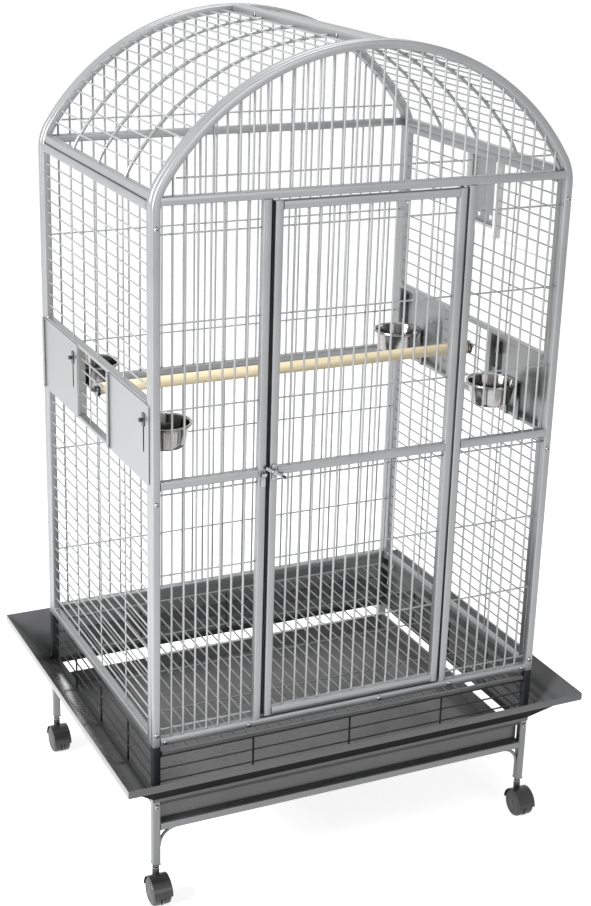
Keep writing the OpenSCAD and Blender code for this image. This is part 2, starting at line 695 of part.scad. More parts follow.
// Tray: a folded pan behind the lower rail, with a front panel that stands off its front wall
module tray() {
    off = 3;
    y0 = -half_d + tube + off + 1;
    len = half_d - tube - tray_back_gap - y0;
    color(dark) {
        difference() {
            translate([-tray_half, y0, tray_z]) cube([2 * tray_half, len, tray_h]);
            translate([-tray_half + sheet, y0 + sheet, tray_z + sheet])
                cube([2 * (tray_half - sheet), len - 2 * sheet, tray_h]);
        }
        translate([-tray_half - 6, y0 - off, tray_z + 0.5])
            cube([2 * tray_half + 12, sheet, ring_z - tray_z - 3]);
        translate([-tray_half, y0 - off, tray_z + tray_h - sheet]) cube([2 * tray_half, off + sheet, sheet]);
    }
}
// Seed skirt along one wall: a flange on the ring, a slope outwards and a folded lip, mitred at both ends
module skirt(half_len, half_other) {
    far = 2 * skirt_out;
    color(dark) intersection() {
        translate([-half_len - skirt_out - 1, -half_other, 0]) rotate([90, 0, 90])
            linear_extrude(2 * (half_len + skirt_out + 1)) polygon([
                [0, ring_top - flange], [0, ring_top], [-skirt_out, lip_z], [-skirt_out, lip_z - lip_h],
                [-skirt_out + sheet, lip_z - lip_h], [-skirt_out + sheet, lip_z - 2.5 * sheet],
                [-sheet, ring_top - sheet / 2], [-sheet, ring_top - flange]]);
        translate([0, -half_other, 0]) linear_extrude(2 * lip_z) polygon([
            [-half_len, 0], [half_len, 0], [half_len + far, -far], [-half_len - far, -far]]);
    }
}
// Stand: legs, lower rails in front and behind, upper ring, runners for the tray and a curved gusset rod
// at each leg
module stand_frame() {
    run = 16;
    gusset_r = 44;
    gusset_d = 8;
    color(paint) {
        for (s = [-1, 1]) for (e = [-1, 1])
            tube_z([s * wire_x_mid - tube / 2, e * bar_y - tube / 2, leg_z], ring_top - leg_z);
        for (z = [rail_z, ring_z]) for (e = [-1, 1])
            tube_x([-inner_x, e * bar_y - tube / 2, z], 2 * inner_x);
        for (s = [-1, 1]) {
            tube_y([s * wire_x_mid - tube / 2, -side_half, ring_z], 2 * side_half);
            translate([s * (tray_half - run / 2) - run / 2, -side_half, rail_top - 3])
                cube([run, 2 * side_half, 3]);
        }
        for (s = [-1, 1]) for (e = [-1, 1]) mirror([s > 0 ? 0 : 1, 0, 0])
            translate([inner_x - gusset_r, e * bar_y, rail_z - gusset_r]) rotate([90, 0, 0])
                rotate_extrude(angle = 90) translate([gusset_r, 0]) circle(d = gusset_d, $fn = 20);
    }
}
module caster_sockets() {
    inner = tube - 2 * tube_wall;
    color(black) for (s = [-1, 1]) for (e = [-1, 1]) translate([s * swivel_x, e * swivel_y, leg_z])
    difference() {
        union() {
            translate([-inner / 2, -inner / 2, 0]) cube([inner, inner, stem_up + 8]);
            translate([-tube / 2, -tube / 2, -2]) cube([tube, tube, 2]);
        }
        translate([0, 0, -3]) cylinder(r = stem_d / 2 + pin_fit, h = stem_up + 4);
    }
}
// Twin-wheel caster, with its trail towards the front
axle_r = 3;
boss_d = 17;
boss_up = 18;
hood_t = 2.2;
stem_gap = 10;
module across(x0, x1, r) translate([x0, -trail, 0]) rotate([0, 90, 0]) cylinder(r = r, h = x1 - x0);
module caster_fork() {
    hood_w = web / 2 + wheel_w + 1;
    top = leg_z - 2 - stem_gap;
    color(black) {
        translate([0, 0, axle_z]) difference() {
            union() {
                difference() {
                    union() {
                        across(-hood_w, hood_w, hood_r);
                        translate([0, 0, boss_up]) cylinder(d = boss_d, h = top - axle_z - boss_up);
                    }
                    across(-hood_w - 1, hood_w + 1, hood_r - hood_t);
                    translate([-hood_w - 1, -trail - hood_r - 1, -hood_r - 1])
                        cube([2 * hood_w + 2, 2 * hood_r + 2, hood_r + 1]);
                }
                across(-web / 2, web / 2, hood_r - 2);
            }
            across(-web, web, axle_r + pin_fit);
            translate([-web, -trail - hood_r, -hood_r - axle_z + 6]) cube([2 * web, 2 * hood_r, hood_r + 2]);
        }
        translate([0, 0, top - 1]) cylinder(d = stem_d, h = leg_z + stem_up - top - 2);
    }
}
module caster_wheels() {
    x0 = web / 2 + 0.7;
    wheel_r = wheel_d / 2;
    color(black) translate([0, -trail, axle_z]) rotate([0, 90, 0]) {
        for (s = [0, 1]) mirror([0, 0, s]) translate([0, 0, x0]) rotate_extrude()
            polygon([[0, 0], [wheel_r - 2, 0], [wheel_r, 2], [wheel_r, wheel_w - 6],
                [wheel_r - 1.5, wheel_w - 3], [wheel_r - 5, wheel_w - 0.8], [wheel_r - 10, wheel_w],
                [0, wheel_w]]);
        translate([0, 0, -x0 - 2]) cylinder(r = axle_r, h = 2 * x0 + 4);
    }
}

// Each corner piece is drawn once and placed by side and end
module at_station(side, end) rotate([0, 0, side == "left" ? 0 : 180])
    translate([0, (side == "left") == (end == "front") ? 0 : station_step, 0]) children();
module at_bowl(side, end)
    mirror([side == "left" ? 0 : 1, 0, 0]) mirror([0, end == "front" ? 0 : 1, 0]) children();
module at_leg(side, end)
    translate([side == "left" ? -swivel_x : swivel_x, end == "front" ? -swivel_y : swivel_y, 0]) children();

front_frame();
front_bars(-inner_x, free_edge - tube);  // front_bars_left
front_bars(hinge_edge + tube, inner_x);  // front_bars_right
front_bars_arch();
door_frame();
door_bars();
door_latch_plate();
door_latch();
latch_keeper();
hinge_pins();
back_frame();
back_bars();
side_frame(false);  // left_side_frame
side_bars(false);  // left_side_bars
turned() side_frame(true);  // right_side_frame
turned() side_bars(true);  // right_side_bars
mirror([1, 0, 0]) dome_frame();  // left_dome_frame
mirror([1, 0, 0]) dome_bars();  // left_dome_bars
dome_frame();  // right_dome_frame
dome_bars();  // right_dome_bars
frame_bolts();
for (side = SIDES) for (end = ENDS) {
    at_station(side, end) feeder_door();
    at_station(side, end) feeder_latch();
    at_bowl(side, end) bowl_ring();
    at_bowl(side, end) bowl();
    at_leg(side, end) caster_fork();
    at_leg(side, end) caster_wheels();
}
feeder_catches();
perch();
perch_bolts();
nest_door();
nest_latch();
grate();
tray();
base_posts();
base_fences();
skirt(half_w, half_d);  // skirt_front
turned() skirt(half_w, half_d);  // skirt_back
rotate([0, 0, -90]) skirt(half_d, half_w);  // skirt_left
rotate([0, 0, 90]) skirt(half_d, half_w);  // skirt_right
stand_frame();
caster_sockets();
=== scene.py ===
from math import atan2, cos, pi, radians, sin, sqrt
import bpy
from mathutils import Matrix, Vector


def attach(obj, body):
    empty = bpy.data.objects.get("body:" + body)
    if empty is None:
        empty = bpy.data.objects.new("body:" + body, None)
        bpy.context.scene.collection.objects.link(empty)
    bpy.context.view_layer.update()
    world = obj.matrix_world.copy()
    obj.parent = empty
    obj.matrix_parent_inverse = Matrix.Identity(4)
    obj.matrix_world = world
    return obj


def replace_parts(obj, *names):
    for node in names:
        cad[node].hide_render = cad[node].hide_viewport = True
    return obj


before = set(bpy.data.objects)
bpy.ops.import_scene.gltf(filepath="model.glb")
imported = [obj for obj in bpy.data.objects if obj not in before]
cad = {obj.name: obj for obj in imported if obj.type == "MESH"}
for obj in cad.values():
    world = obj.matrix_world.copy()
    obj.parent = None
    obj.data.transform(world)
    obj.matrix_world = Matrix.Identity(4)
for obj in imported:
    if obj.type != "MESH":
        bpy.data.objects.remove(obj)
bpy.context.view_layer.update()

# Camera: a long lens a little above the top rails, left of the front door, tilted down.
# The yaw turns from straight at the front towards the right side.
yaw, pitch, roll = radians(25.80), radians(-20.28), radians(1.70)
eye, focal_length, far_end = (-1.685, -3.522, 2.368), 66.5, 100
forward = Vector((sin(yaw) * cos(pitch), cos(yaw) * cos(pitch), sin(pitch)))
level = Vector((cos(yaw), -sin(yaw), 0))
upright = level.cross(forward)
side_axis = level * cos(roll) + upright * sin(roll)
top_axis = upright * cos(roll) - level * sin(roll)
bpy.ops.object.select_all(action="DESELECT")
bpy.ops.object.camera_add(location=eye)
camera = bpy.context.object
camera.rotation_euler = Matrix((side_axis, top_axis, -forward)).transposed().to_euler()
camera.data.sensor_width = 36
camera.data.lens = focal_length
camera.data.clip_end = far_end
bpy.context.scene.camera = camera
bpy.context.scene.view_settings.view_transform = "Standard"


# Studio: a pale floor that keeps the cage's shadow, an even white room, a large lamp
# high on the left, and weaker ones in front and overhead.
def knot(tree, kind, *ordered, settings=None, **named):
    """Adds a shader node. Its inputs, in order or by name, are values, other nodes' outputs or None."""
    made = tree.nodes.new("ShaderNode" + kind)
    for key, value in (settings or {}).items():
        setattr(made, key, value)
    wanted = list(enumerate(ordered)) + [(key.replace("_", " "), value) for key, value in named.items()]
    for key, value in wanted:
        if isinstance(value, bpy.types.NodeSocket):
            tree.links.new(value, made.inputs[key])
        elif value is not None:
            made.inputs[key].default_value = value
    return made


def new_material(name):
    """A bare material: its node tree and output node."""
    material = bpy.data.materials.new(name)
    material.use_nodes = True
    material.node_tree.nodes.clear()
    return material, material.node_tree, material.node_tree.nodes.new("ShaderNodeOutputMaterial")


def seen_directly(tree):
    """1 where the camera sees a surface itself, in a mirror or through glass."""
    path = tree.nodes.new("ShaderNodeLightPath")
    either = knot(tree, "Math", path.outputs["Is Camera Ray"], path.outputs["Is Glossy Ray"],
                  settings={"operation": "MAXIMUM"})
    return knot(tree, "Math", either.outputs[0], path.outputs["Is Transmission Ray"],
                settings={"operation": "MAXIMUM"}).outputs[0]


floor_size, floor_tone, floor_glow, room_light = 90, 0.62, 0.80, 0.34
bpy.ops.mesh.primitive_plane_add(size=floor_size, location=(0, 0, 0))
floor = bpy.context.object
floor.name = "studio_floor"
bpy.ops.object.mode_set(mode="EDIT")
bpy.ops.mesh.subdivide(number_cuts=3)
bpy.ops.object.mode_set(mode="OBJECT")
floor_paint, tree, out = new_material("studio_floor")
matt = knot(tree, "BsdfDiffuse", Color=(floor_tone, floor_tone, floor_tone, 1))
glow = knot(tree, "Emission", Color=(1, 1, 1, 1), Strength=floor_glow)
seen = knot(tree, "AddShader", matt.outputs[0], glow.outputs[0])
both = knot(tree, "MixShader", seen_directly(tree), matt.outputs[0], seen.outputs[0])
tree.links.new(both.outputs[0], out.inputs["Surface"])
floor.data.materials.append(floor_paint)

world = bpy.data.worlds.new("white_room")
bpy.context.scene.world = world
world.use_nodes = True
tree = world.node_tree
tree.nodes.clear()
plain = knot(tree, "Background", Color=(1, 1, 1, 1), Strength=1.0)
dimmer = knot(tree, "Background", Color=(1, 1, 1, 1), Strength=room_light)
both = knot(tree, "MixShader", seen_directly(tree), dimmer.outputs[0], plain.outputs[0])
tree.links.new(both.outputs[0], knot(tree, "OutputWorld").inputs["Surface"])


def soft_lamp(name, place, target, size, power):
    """A round soft lamp, turned to a target; size in metres and power in watts."""
    bpy.ops.object.light_add(type="AREA", location=place)
    lamp = bpy.context.object
    lamp.name = name
    lamp.data.shape = "DISK"
    lamp.data.size = size
    lamp.data.energy = power
    lamp.rotation_euler = (Vector(target) - Vector(place)).to_track_quat("-Z", "Y").to_euler()


soft_lamp("key_lamp", (-4.4, -1.0, 2.8), (0, 0, 0.9), 2.0, 385)
soft_lamp("front_lamp", (0.8, -5.4, 2.2), (0, 0, 1.0), 2.4, 42)
soft_lamp("top_lamp", (0.4, 0.6, 5.2), (0, 0, 1.2), 2.6, 90)

# Front panel: welded from 19 mm square tube, bent over the top into the dome's front hoop, and
# powder coated in platinum. Its corners are as round as the rolls leave them, and the welds are small
# fillets. A thin strip behind the free stile stops the door.
half_w, half_d, tube = 0.508, 0.390, 0.019
panel_z, top_z, mid_z = 0.411, 1.674, 1.036
bend_r, dome_rise = 0.120, 0.300
arch_r = (half_w ** 2 + dome_rise ** 2) / (2 * dome_rise)
arch_z = top_z + dome_rise - arch_r
bend_x = half_w - bend_r
bend_z = arch_z + sqrt((arch_r - bend_r) ** 2 - bend_x ** 2)
bend_a = atan2(bend_z - arch_z, bend_x)
inner_x, free_edge, hinge_edge = half_w - tube, -0.2405, 0.237
low_z = panel_z + tube
bar_y = half_d - tube / 2
tube_corner, bend_steps, arch_steps = 0.0035, 10, 56


def new_group(name, takes, gives):
    """A shader node group with named inputs (kind, start value) and outputs (kind)."""
    group = bpy.data.node_groups.new(name, "ShaderNodeTree")
    for label, (kind, value) in takes.items():
        socket = group.interface.new_socket(label, in_out="INPUT", socket_type="NodeSocket" + kind)
        socket.default_value = value
    for label, kind in gives.items():
        group.interface.new_socket(label, in_out="OUTPUT", socket_type="NodeSocket" + kind)
    return group, group.nodes.new("NodeGroupInput"), group.nodes.new("NodeGroupOutput")


def shade_of(tree, factor, first, second):
    """Mixes two colours by a mask."""
    mixed = knot(tree, "Mix", factor, *[None] * 5, first, second, settings={"data_type": "RGBA"})
    return mixed.outputs[2]


# Powder coat melts into a fine orange peel, with a faint cloudiness over a hand's width.
powder_coat, takes, gives = new_group(
    "powder_coat",
    {"Tone": ("Color", (0.5, 0.5, 0.5, 1)), "Cloud": ("Float", 0.06), "Peel": ("Float", 0.25),
     "Gloss": ("Float", 0.32)},
    {"Tone": "Color", "Roughness": "Float", "Normal": "Vector"})
where = knot(powder_coat, "TexCoord").outputs["Object"]
cloud = knot(powder_coat, "TexNoise", Vector=where, Scale=7.0, Detail=4.0)
fleck = knot(powder_coat, "TexNoise", Vector=where, Scale=900.0, Detail=2.0)
spread = knot(powder_coat, "MapRange", Value=cloud.outputs["Fac"], From_Min=0.3, From_Max=0.7, To_Min=-1)
centred = knot(powder_coat, "Math", spread.outputs[0], takes.outputs["Cloud"], 1.0,
               settings={"operation": "MULTIPLY_ADD"})
grain = knot(powder_coat, "MapRange", Value=fleck.outputs["Fac"], To_Min=0.93, To_Max=1.07)
both = knot(powder_coat, "Math", centred.outputs[0], grain.outputs[0], settings={"operation": "MULTIPLY"})
toned = knot(powder_coat, "VectorMath", takes.outputs["Tone"], settings={"operation": "SCALE"})
powder_coat.links.new(both.outputs[0], toned.inputs["Scale"])
powder_coat.links.new(toned.outputs[0], gives.inputs["Tone"])
rubbed = knot(powder_coat, "Math", spread.outputs[0], 0.05, takes.outputs["Gloss"],
              settings={"operation": "MULTIPLY_ADD"})
powder_coat.links.new(rubbed.outputs[0], gives.inputs["Roughness"])
peel = knot(powder_coat, "TexNoise", Vector=where, Scale=420.0, Detail=1.0)
raised = knot(powder_coat, "Bump", Height=peel.outputs["Fac"], Distance=0.0004)
powder_coat.links.new(takes.outputs["Peel"], raised.inputs["Strength"])
powder_coat.links.new(raised.outputs[0], gives.inputs["Normal"])

# Edges that hands, bowls and trays rub against: a mask that is 1 on the rounded corners, in patches.
edge_rub, takes, gives = new_group(
    "edge_rub", {"Reach": ("Float", 0.0015), "Amount": ("Float", 0.5)}, {"Mask": "Float"})
rounded = knot(edge_rub, "Bevel", settings={"samples": 4})
edge_rub.links.new(takes.outputs["Reach"], rounded.inputs["Radius"])
flat = knot(edge_rub, "NewGeometry")
alike = knot(edge_rub, "VectorMath", rounded.outputs[0], flat.outputs["Normal"],
             settings={"operation": "DOT_PRODUCT"})
turned_away = knot(edge_rub, "MapRange", Value=alike.outputs["Value"], From_Min=0.995, From_Max=0.90)
place = knot(edge_rub, "TexCoord")
patch = knot(edge_rub, "TexNoise", Vector=place.outputs["Object"], Scale=55.0, Detail=5.0)
patched = knot(edge_rub, "MapRange", Value=patch.outputs["Fac"], From_Min=0.48, From_Max=0.66)
worn = knot(edge_rub, "Math", turned_away.outputs[0], patched.outputs[0], settings={"operation": "MULTIPLY"})
worn = knot(edge_rub, "Math", worn.outputs[0], takes.outputs["Amount"], settings={"operation": "MULTIPLY"})
edge_rub.links.new(worn.outputs[0], gives.inputs["Mask"])


def coated(name, tone, worn_tone, gloss, cloud, peel, metallic=0.0, rub=0.5, coat=0.15, underside_shade=None,
           shine=0.5):
    """Powder coat of one colour, polished lighter where its edges are rubbed, with painted shade in tight
    corners, and, given a shade colour, painted shade in that colour on faces that look down, which turn rough
    and lose their clear coat."""
    material, tree, out = new_material(name)
    paint = knot(tree, "Group", settings={"node_tree": powder_coat}, Tone=(*tone, 1), Cloud=cloud,
                 Peel=peel, Gloss=gloss)
    mask = knot(tree, "Group", settings={"node_tree": edge_rub}, Amount=rub)
    colour = shade_of(tree, mask.outputs[0], paint.outputs["Tone"], (*worn_tone, 1))
    # Painted shade: the colour falls to 0.45 of the tone in tight corners, gaps and crevices.
    corners = knot(tree, "AmbientOcclusion", Distance=0.03, settings={"samples": 4})
    unshaded = knot(tree, "MapRange", Value=corners.outputs["AO"], From_Min=0.15, From_Max=0.75)
    colour = shade_of(tree, unshaded.outputs[0], (*[v * 0.45 for v in tone], 1), colour)
    rough, clear = paint.outputs["Roughness"], coat
    # Painted shade: faces that look down take the given darker colour, full roughness and no clear coat.
    if underside_shade:
        facing = knot(tree, "SeparateXYZ", knot(tree, "TexCoord").outputs["Normal"])
        shade_below = knot(tree, "MapRange", Value=facing.outputs["Z"], From_Min=-0.15, From_Max=-0.5)
        colour = shade_of(tree, shade_below.outputs[0], colour, (*underside_shade, 1))
        above = knot(tree, "Math", 1.0, shade_below.outputs[0], settings={"operation": "SUBTRACT"}).outputs[0]
        rough = knot(tree, "Math", rough, shade_below.outputs[0], settings={"operation": "MAXIMUM"}).outputs[0]
        clear = knot(tree, "Math", above, coat, settings={"operation": "MULTIPLY"}).outputs[0]
    skin = knot(tree, "BsdfPrincipled", Metallic=metallic, Base_Color=colour, Roughness=rough,
                Specular_IOR_Level=shine, Coat_Weight=clear, Coat_Roughness=0.18,
                Normal=paint.outputs["Normal"])
    tree.links.new(skin.outputs[0], out.inputs["Surface"])
    return material


platinum = coated("platinum_powder_coat", (0.315, 0.32, 0.325), (0.50, 0.50, 0.49), 0.33, 0.05, 0.25,
                  metallic=0.7)


def unselected(mesh):
    """The same mesh with nothing selected."""
    for items in (mesh.vertices, mesh.edges, mesh.polygons):
        items.foreach_set("select", [False] * len(items))
    return mesh


def edges_rounded(piece, chosen, width, segments=3):
    """Rounds the edges of a piece that pass a test on their two ends."""
    mesh = unselected(piece.data)
    for edge in mesh.edges:
        edge.select = chosen(*(mesh.vertices[k].co for k in edge.vertices))
    bpy.ops.object.mode_set(mode="EDIT")
    bpy.ops.mesh.bevel(offset=width, segments=segments, affect="EDGES")
    bpy.ops.object.mode_set(mode="OBJECT")


def block(low, high):
    """A block between two corners, ready to be shaped."""
    low, high = Vector(low), Vector(high)
    bpy.ops.object.select_all(action="DESELECT")
    bpy.ops.mesh.primitive_cube_add(size=1, location=(low + high) / 2)
    bpy.ops.transform.resize(value=high - low)
    bpy.ops.object.transform_apply()
    bpy.context.tool_settings.mesh_select_mode = (False, True, False)
    return bpy.context.object


def length_of_bar(low, high, corner=tube_corner):
    """Square tube or flat bar between two corners, with its four long edges rounded."""
    size = Vector(high) - Vector(low)
    along = max(range(3), key=lambda k: size[k])
    bar = block(low, high)
    edges_rounded(bar, lambda a, b: abs(a[along] - b[along]) > size[along] / 2, corner)
    return bar


def open_section(at, facing, side=None, radius=None, around=12):
    """The cross-section of a square tube (by its side) or a rod (by its radius), open in edit mode."""
    bpy.ops.object.select_all(action="DESELECT")
    turned = Vector(facing).to_track_quat("Z", "X").to_euler()
    if side:
        bpy.ops.mesh.primitive_plane_add(size=side, location=at, rotation=turned)
    else:
        bpy.ops.mesh.primitive_circle_add(vertices=around, radius=radius, fill_type="NGON",
                                          location=at, rotation=turned)
    section = bpy.context.object
    bpy.ops.object.transform_apply()
    bpy.context.tool_settings.mesh_select_mode = (True, False, True)
    bpy.ops.object.mode_set(mode="EDIT")
    bpy.ops.mesh.select_all(action="SELECT")
    if side:
        bpy.ops.mesh.bevel(offset=tube_corner, segments=3, affect="VERTICES")
        bpy.ops.mesh.select_all(action="SELECT")
    return section


def draw_out(section, *moves):
    """Draws a section out, along vectors and round bends given as (centre, axis, angle, steps)."""
    for move in moves:
        if isinstance(move, Vector):
            bpy.ops.mesh.extrude_region_move(TRANSFORM_OT_translate={"value": move})
        else:
            centre, axis, angle, steps = move
            bpy.ops.mesh.spin(steps=steps, angle=angle, center=centre, axis=axis)
    bpy.ops.mesh.select_all(action="SELECT")
    bpy.ops.mesh.normals_make_consistent(inside=False)
    bpy.ops.object.mode_set(mode="OBJECT")
    return section


def turned_part(centre, axis, outline, around=32):
    """A round part, drawn out of a disc ring by ring: outline is (radius, height) along the axis."""
    section = open_section(centre, (0, 0, 1), radius=outline[0][0], around=around)
    for (r0, h0), (r1, h1) in zip(outline, outline[1:]):
        bpy.ops.mesh.extrude_region_move(TRANSFORM_OT_translate={"value": (0, 0, h1 - h0)})
        bpy.ops.transform.resize(value=(r1 / r0, r1 / r0, 1))
    bpy.ops.mesh.select_all(action="SELECT")
    bpy.ops.mesh.normals_make_consistent(inside=False)
    bpy.ops.object.mode_set(mode="OBJECT")
    placed = Matrix.Translation(centre) @ Vector(axis).to_track_quat("Z", "X").to_matrix().to_4x4()
    to_first_ring = Matrix.Translation((0, 0, outline[0][1]))
    section.matrix_world = placed @ Matrix.Translation(-Vector(centre)) @ to_first_ring
    bpy.ops.object.transform_apply()
    return section


def moved_copy(piece, matrix):
    """Another of the same piece, with its own mesh."""
    twin = piece.copy()
    twin.data = piece.data.copy()
    bpy.context.collection.objects.link(twin)
    twin.data.transform(matrix)
    if matrix.determinant() < 0:
        twin.data.flip_normals()
    return twin


def welded(name, parts, angle=35):
    """Joins parts into one piece, smooth except over its sharp edges."""
    bpy.ops.object.select_all(action="DESELECT")
    for part in parts:
        part.select_set(True)
    bpy.context.view_layer.objects.active = parts[0]
    if len(parts) > 1:
        bpy.ops.object.join()
    piece = bpy.context.object
    piece.name = piece.data.name = name
    bpy.ops.object.shade_smooth_by_angle(angle=radians(angle))
    return piece


def painted(piece, material):
    """Gives a piece its one material."""
    piece.data.materials.clear()
    piece.data.materials.append(material)
    return piece


# One fillet weld: a short rippled bead, laid along Y in the corner of two tubes.
bead_l = 0.0150
bead_rings = [(0.0006, 0), (0.0019, 0.0012), (0.0016, 0.0032), (0.0022, 0.0052), (0.0017, 0.0074),
              (0.0021, 0.0094), (0.0017, 0.0114), (0.0020, 0.0134), (0.0006, bead_l)]
bead = turned_part((0, 0, 0), (0, 1, 0), [(r, h - bead_l / 2) for r, h in bead_rings], around=8)
bead.name = "weld_bead_pattern"


def beads(spots, turn=None):
    """Copies of the bead at some spots, along Y or turned."""
    return [moved_copy(bead, Matrix.Translation(spot) @ (turn or Matrix.Identity(4))) for spot in spots]


def bent_hoop(y):
    """From the left foot up, round both bends and the arch, and down to the right foot."""
    back = (0, -1, 0)
    section = open_section((-half_w + tube / 2, y, panel_z), (0, 0, 1), side=tube)
    rise = Vector((0, 0, bend_z - panel_z))
    return draw_out(section, rise, ((-bend_x, y, bend_z), back, bend_a, bend_steps),
                    ((0, y, arch_z), back, pi - 2 * bend_a, arch_steps),
                    ((bend_x, y, bend_z), back, bend_a, bend_steps), -rise)


def x_rail(x0, x1, y, z):
    """Square tube along X, over a height."""
    return length_of_bar((x0, y - tube / 2, z), (x1, y + tube / 2, z + tube))


def z_post(x, y, z0, z1):
    """Square tube along Z, round a middle."""
    return length_of_bar((x - tube / 2, y - tube / 2, z0), (x + tube / 2, y + tube / 2, z1))


parts = [bent_hoop(-bar_y)] + [x_rail(-inner_x, inner_x, -bar_y, z) for z in (panel_z, top_z - tube)]
corners = []
for s, opening in ((-1, free_edge), (1, hinge_edge)):
    parts.append(z_post(opening + s * tube / 2, -bar_y, low_z, top_z - tube))
    ends = sorted((s * inner_x, opening + s * tube))
    parts.append(x_rail(*ends, -bar_y, mid_z))
    corners += [(x, z) for x in ends for z in (low_z, mid_z, mid_z + tube, top_z - tube)]
    corners += [(opening, z) for z in (low_z, top_z - tube)] + [(s * inner_x, top_z)]
stop_y, stop_lap, stop_reach, stop_corner = tube / 2 - bar_y, 0.0080, 0.0105, 0.0004
for x0, x1, y0 in ((-stop_lap, -0.0010, -0.0002), (-0.0020, stop_reach, 0.0005)):
    parts.append(length_of_bar((free_edge + x0, stop_y + y0, low_z),
                               (free_edge + x1, stop_y + 0.0020, top_z - tube), stop_corner))
parts += beads([(x, -bar_y, z) for x, z in corners])
front_tubes = painted(welded("front_panel_tubes", parts), platinum)
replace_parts(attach(front_tubes, "cage"), "front_frame")

# Front bars: steel wire in the two bays and the arch, welded between the rails with a few cross wires
# and coated together with the frame.
wire_coat = coated("platinum_coated_wire", (0.37, 0.375, 0.38), (0.50, 0.50, 0.49), 0.34, 0.08, 0.15,
                   metallic=0.55, rub=0.2)


def recoat(material, *names):
    """Gives CAD nodes their material."""
    for name in names:
        for place in cad[name].material_slots:
            place.material = material


recoat(wire_coat, "front_bars_left", "front_bars_right", "front_bars_arch")

# Front door: a welded frame of the same tube with a mid rail, hung on two pins. Its stiles run full
# height, and the bars are welded between its rails.
door_half, door_z0, door_z1 = 0.232, 0.435, 1.650
parts = [z_post(s * (door_half - tube / 2), -bar_y, door_z0, door_z1) for s in (-1, 1)]
rail_half = door_half - tube
for z in (door_z0, mid_z, door_z1 - tube):
    parts.append(x_rail(-rail_half, rail_half, -bar_y, z))
spots = [(s * rail_half, -bar_y, z)
         for s in (-1, 1) for z in (door_z0 + tube, mid_z, mid_z + tube, door_z1 - tube)]
door_tubes = painted(welded("front_door_tubes", parts + beads(spots)), platinum)
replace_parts(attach(door_tubes, "front_door"), "door_frame")
recoat(wire_coat, "door_bars")

# Back panel: the same bent hoop and coat as the front, with one mid rail, bars welded over the whole
# width and no door. It is bolted to the side panels.
parts = [bent_hoop(bar_y)] + [x_rail(-inner_x, inner_x, bar_y, z) for z in (panel_z, mid_z, top_z - tube)]
spots = [(s * inner_x, bar_y, z) for s in (-1, 1) for z in (low_z, mid_z, mid_z + tube, top_z - tube, top_z)]
back_tubes = painted(welded("back_panel_tubes", parts + beads(spots)), platinum)
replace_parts(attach(back_tubes, "cage"), "back_frame")
recoat(wire_coat, "back_bars")

# Side panels: the same tube, with 10 mm strips and uprights round the two feeder openings and a pair of
# round hinge lugs at each. The right one is the left one turned half round, with the nest opening added.
seam_z, side_half, inner_y = 1.659, 0.371, 0.352
wall_x, strip, strip_corner = half_w - tube / 2, 0.010, 0.0015
feeder_z0, feeder_z1 = 1.050, 1.220
hinge_x, hinge_y, station_step = 0.5124, 0.115, 0.481
lug_h, lug_half, lug_corner = 0.006, 0.004, 0.0006
half_turn = Matrix.Rotation(pi, 4, "Z")
quarter_turn = Matrix.Rotation(pi / 2, 4, "Z")
mirrored = Matrix.Diagonal((-1, 1, 1, 1))


def y_rail(x, y0, y1, z):
    """Square tube along Y, over a height."""
    return length_of_bar((x - tube / 2, y0, z), (x + tube / 2, y1, z + tube))


def rolled(centre, axis, length, radius=0.004):
    """A rolled edge or lug, with its ends broken."""
    ease = 0.0006
    return turned_part(centre, axis, [(radius - ease, 0), (radius, ease), (radius, length - ease),
                                      (radius - ease, length)], around=20)


parts = []
for s in (-1, 1):
    parts.append(z_post(-wall_x, s * (side_half - tube / 2), panel_z, seam_z))
    parts.append(length_of_bar((-half_w, s * hinge_y - strip / 2, feeder_z0),
                               (-inner_x, s * hinge_y + strip / 2, feeder_z1), strip_corner))
parts += [y_rail(-wall_x, -inner_y, inner_y, z) for z in (panel_z, seam_z - tube)]
for z in (feeder_z0 - strip, feeder_z1):
    parts.append(length_of_bar((-half_w, -inner_y, z), (-inner_x, inner_y, z + strip), strip_corner))
for y in (-hinge_y, station_step - hinge_y):
    for z in (feeder_z0 - 0.005, feeder_z1 - 0.001):
        parts.append(rolled((-hinge_x, y, z), (0, 0, 1), lug_h))
        parts.append(length_of_bar((-hinge_x, y - lug_half, z), (-half_w, y + lug_half, z + lug_h),
                                   lug_corner))
spots = [(-wall_x, s * inner_y, z) for s in (-1, 1)
         for z in (low_z, feeder_z0 - strip, feeder_z0, feeder_z1, feeder_z1 + strip, seam_z - tube)]
left_tubes = painted(welded("left_panel_tubes", parts + beads(spots, quarter_turn)), platinum)
nest_y, nest_z0, nest_z1, nest_pin_z = -0.022, 1.468, 1.640, 1.6495
jamb_y, nest_lug_y, nest_lug_x, nest_lug_half = 0.073, 0.080, 0.516, 0.003
sill_z0, sill_z1, sill_half, sill_wire_z, wire_r, wire_half = 1.454, 1.476, 0.078, 1.4525, 0.002, 0.353
parts = [moved_copy(left_tubes, half_turn)]
for s in (-1, 1):
    edge, lug_y = nest_y + s * jamb_y, nest_y + s * nest_lug_y
    parts.append(length_of_bar((inner_x, edge - strip / 2, sill_z1), (half_w, edge + strip / 2, nest_z1),
                               strip_corner))
    parts.append(length_of_bar((half_w, lug_y - nest_lug_half, nest_pin_z - lug_half),
                               (nest_lug_x, lug_y + nest_lug_half, nest_pin_z + lug_half), 0.0008))
parts.append(length_of_bar((inner_x, nest_y - sill_half, sill_z0), (half_w, nest_y + sill_half, sill_z1),
                           strip_corner))
sill_wire = open_section((wall_x, -wire_half, sill_wire_z), (0, 1, 0), radius=wire_r)
parts.append(draw_out(sill_wire, Vector((0, 2 * wire_half, 0))))
right_tubes = welded("right_panel_tubes", parts)
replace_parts(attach(left_tubes, "cage"), "left_side_frame")
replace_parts(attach(right_tubes, "cage"), "right_side_frame")
recoat(wire_coat, "left_side_bars", "right_side_bars", "feeder_catches")

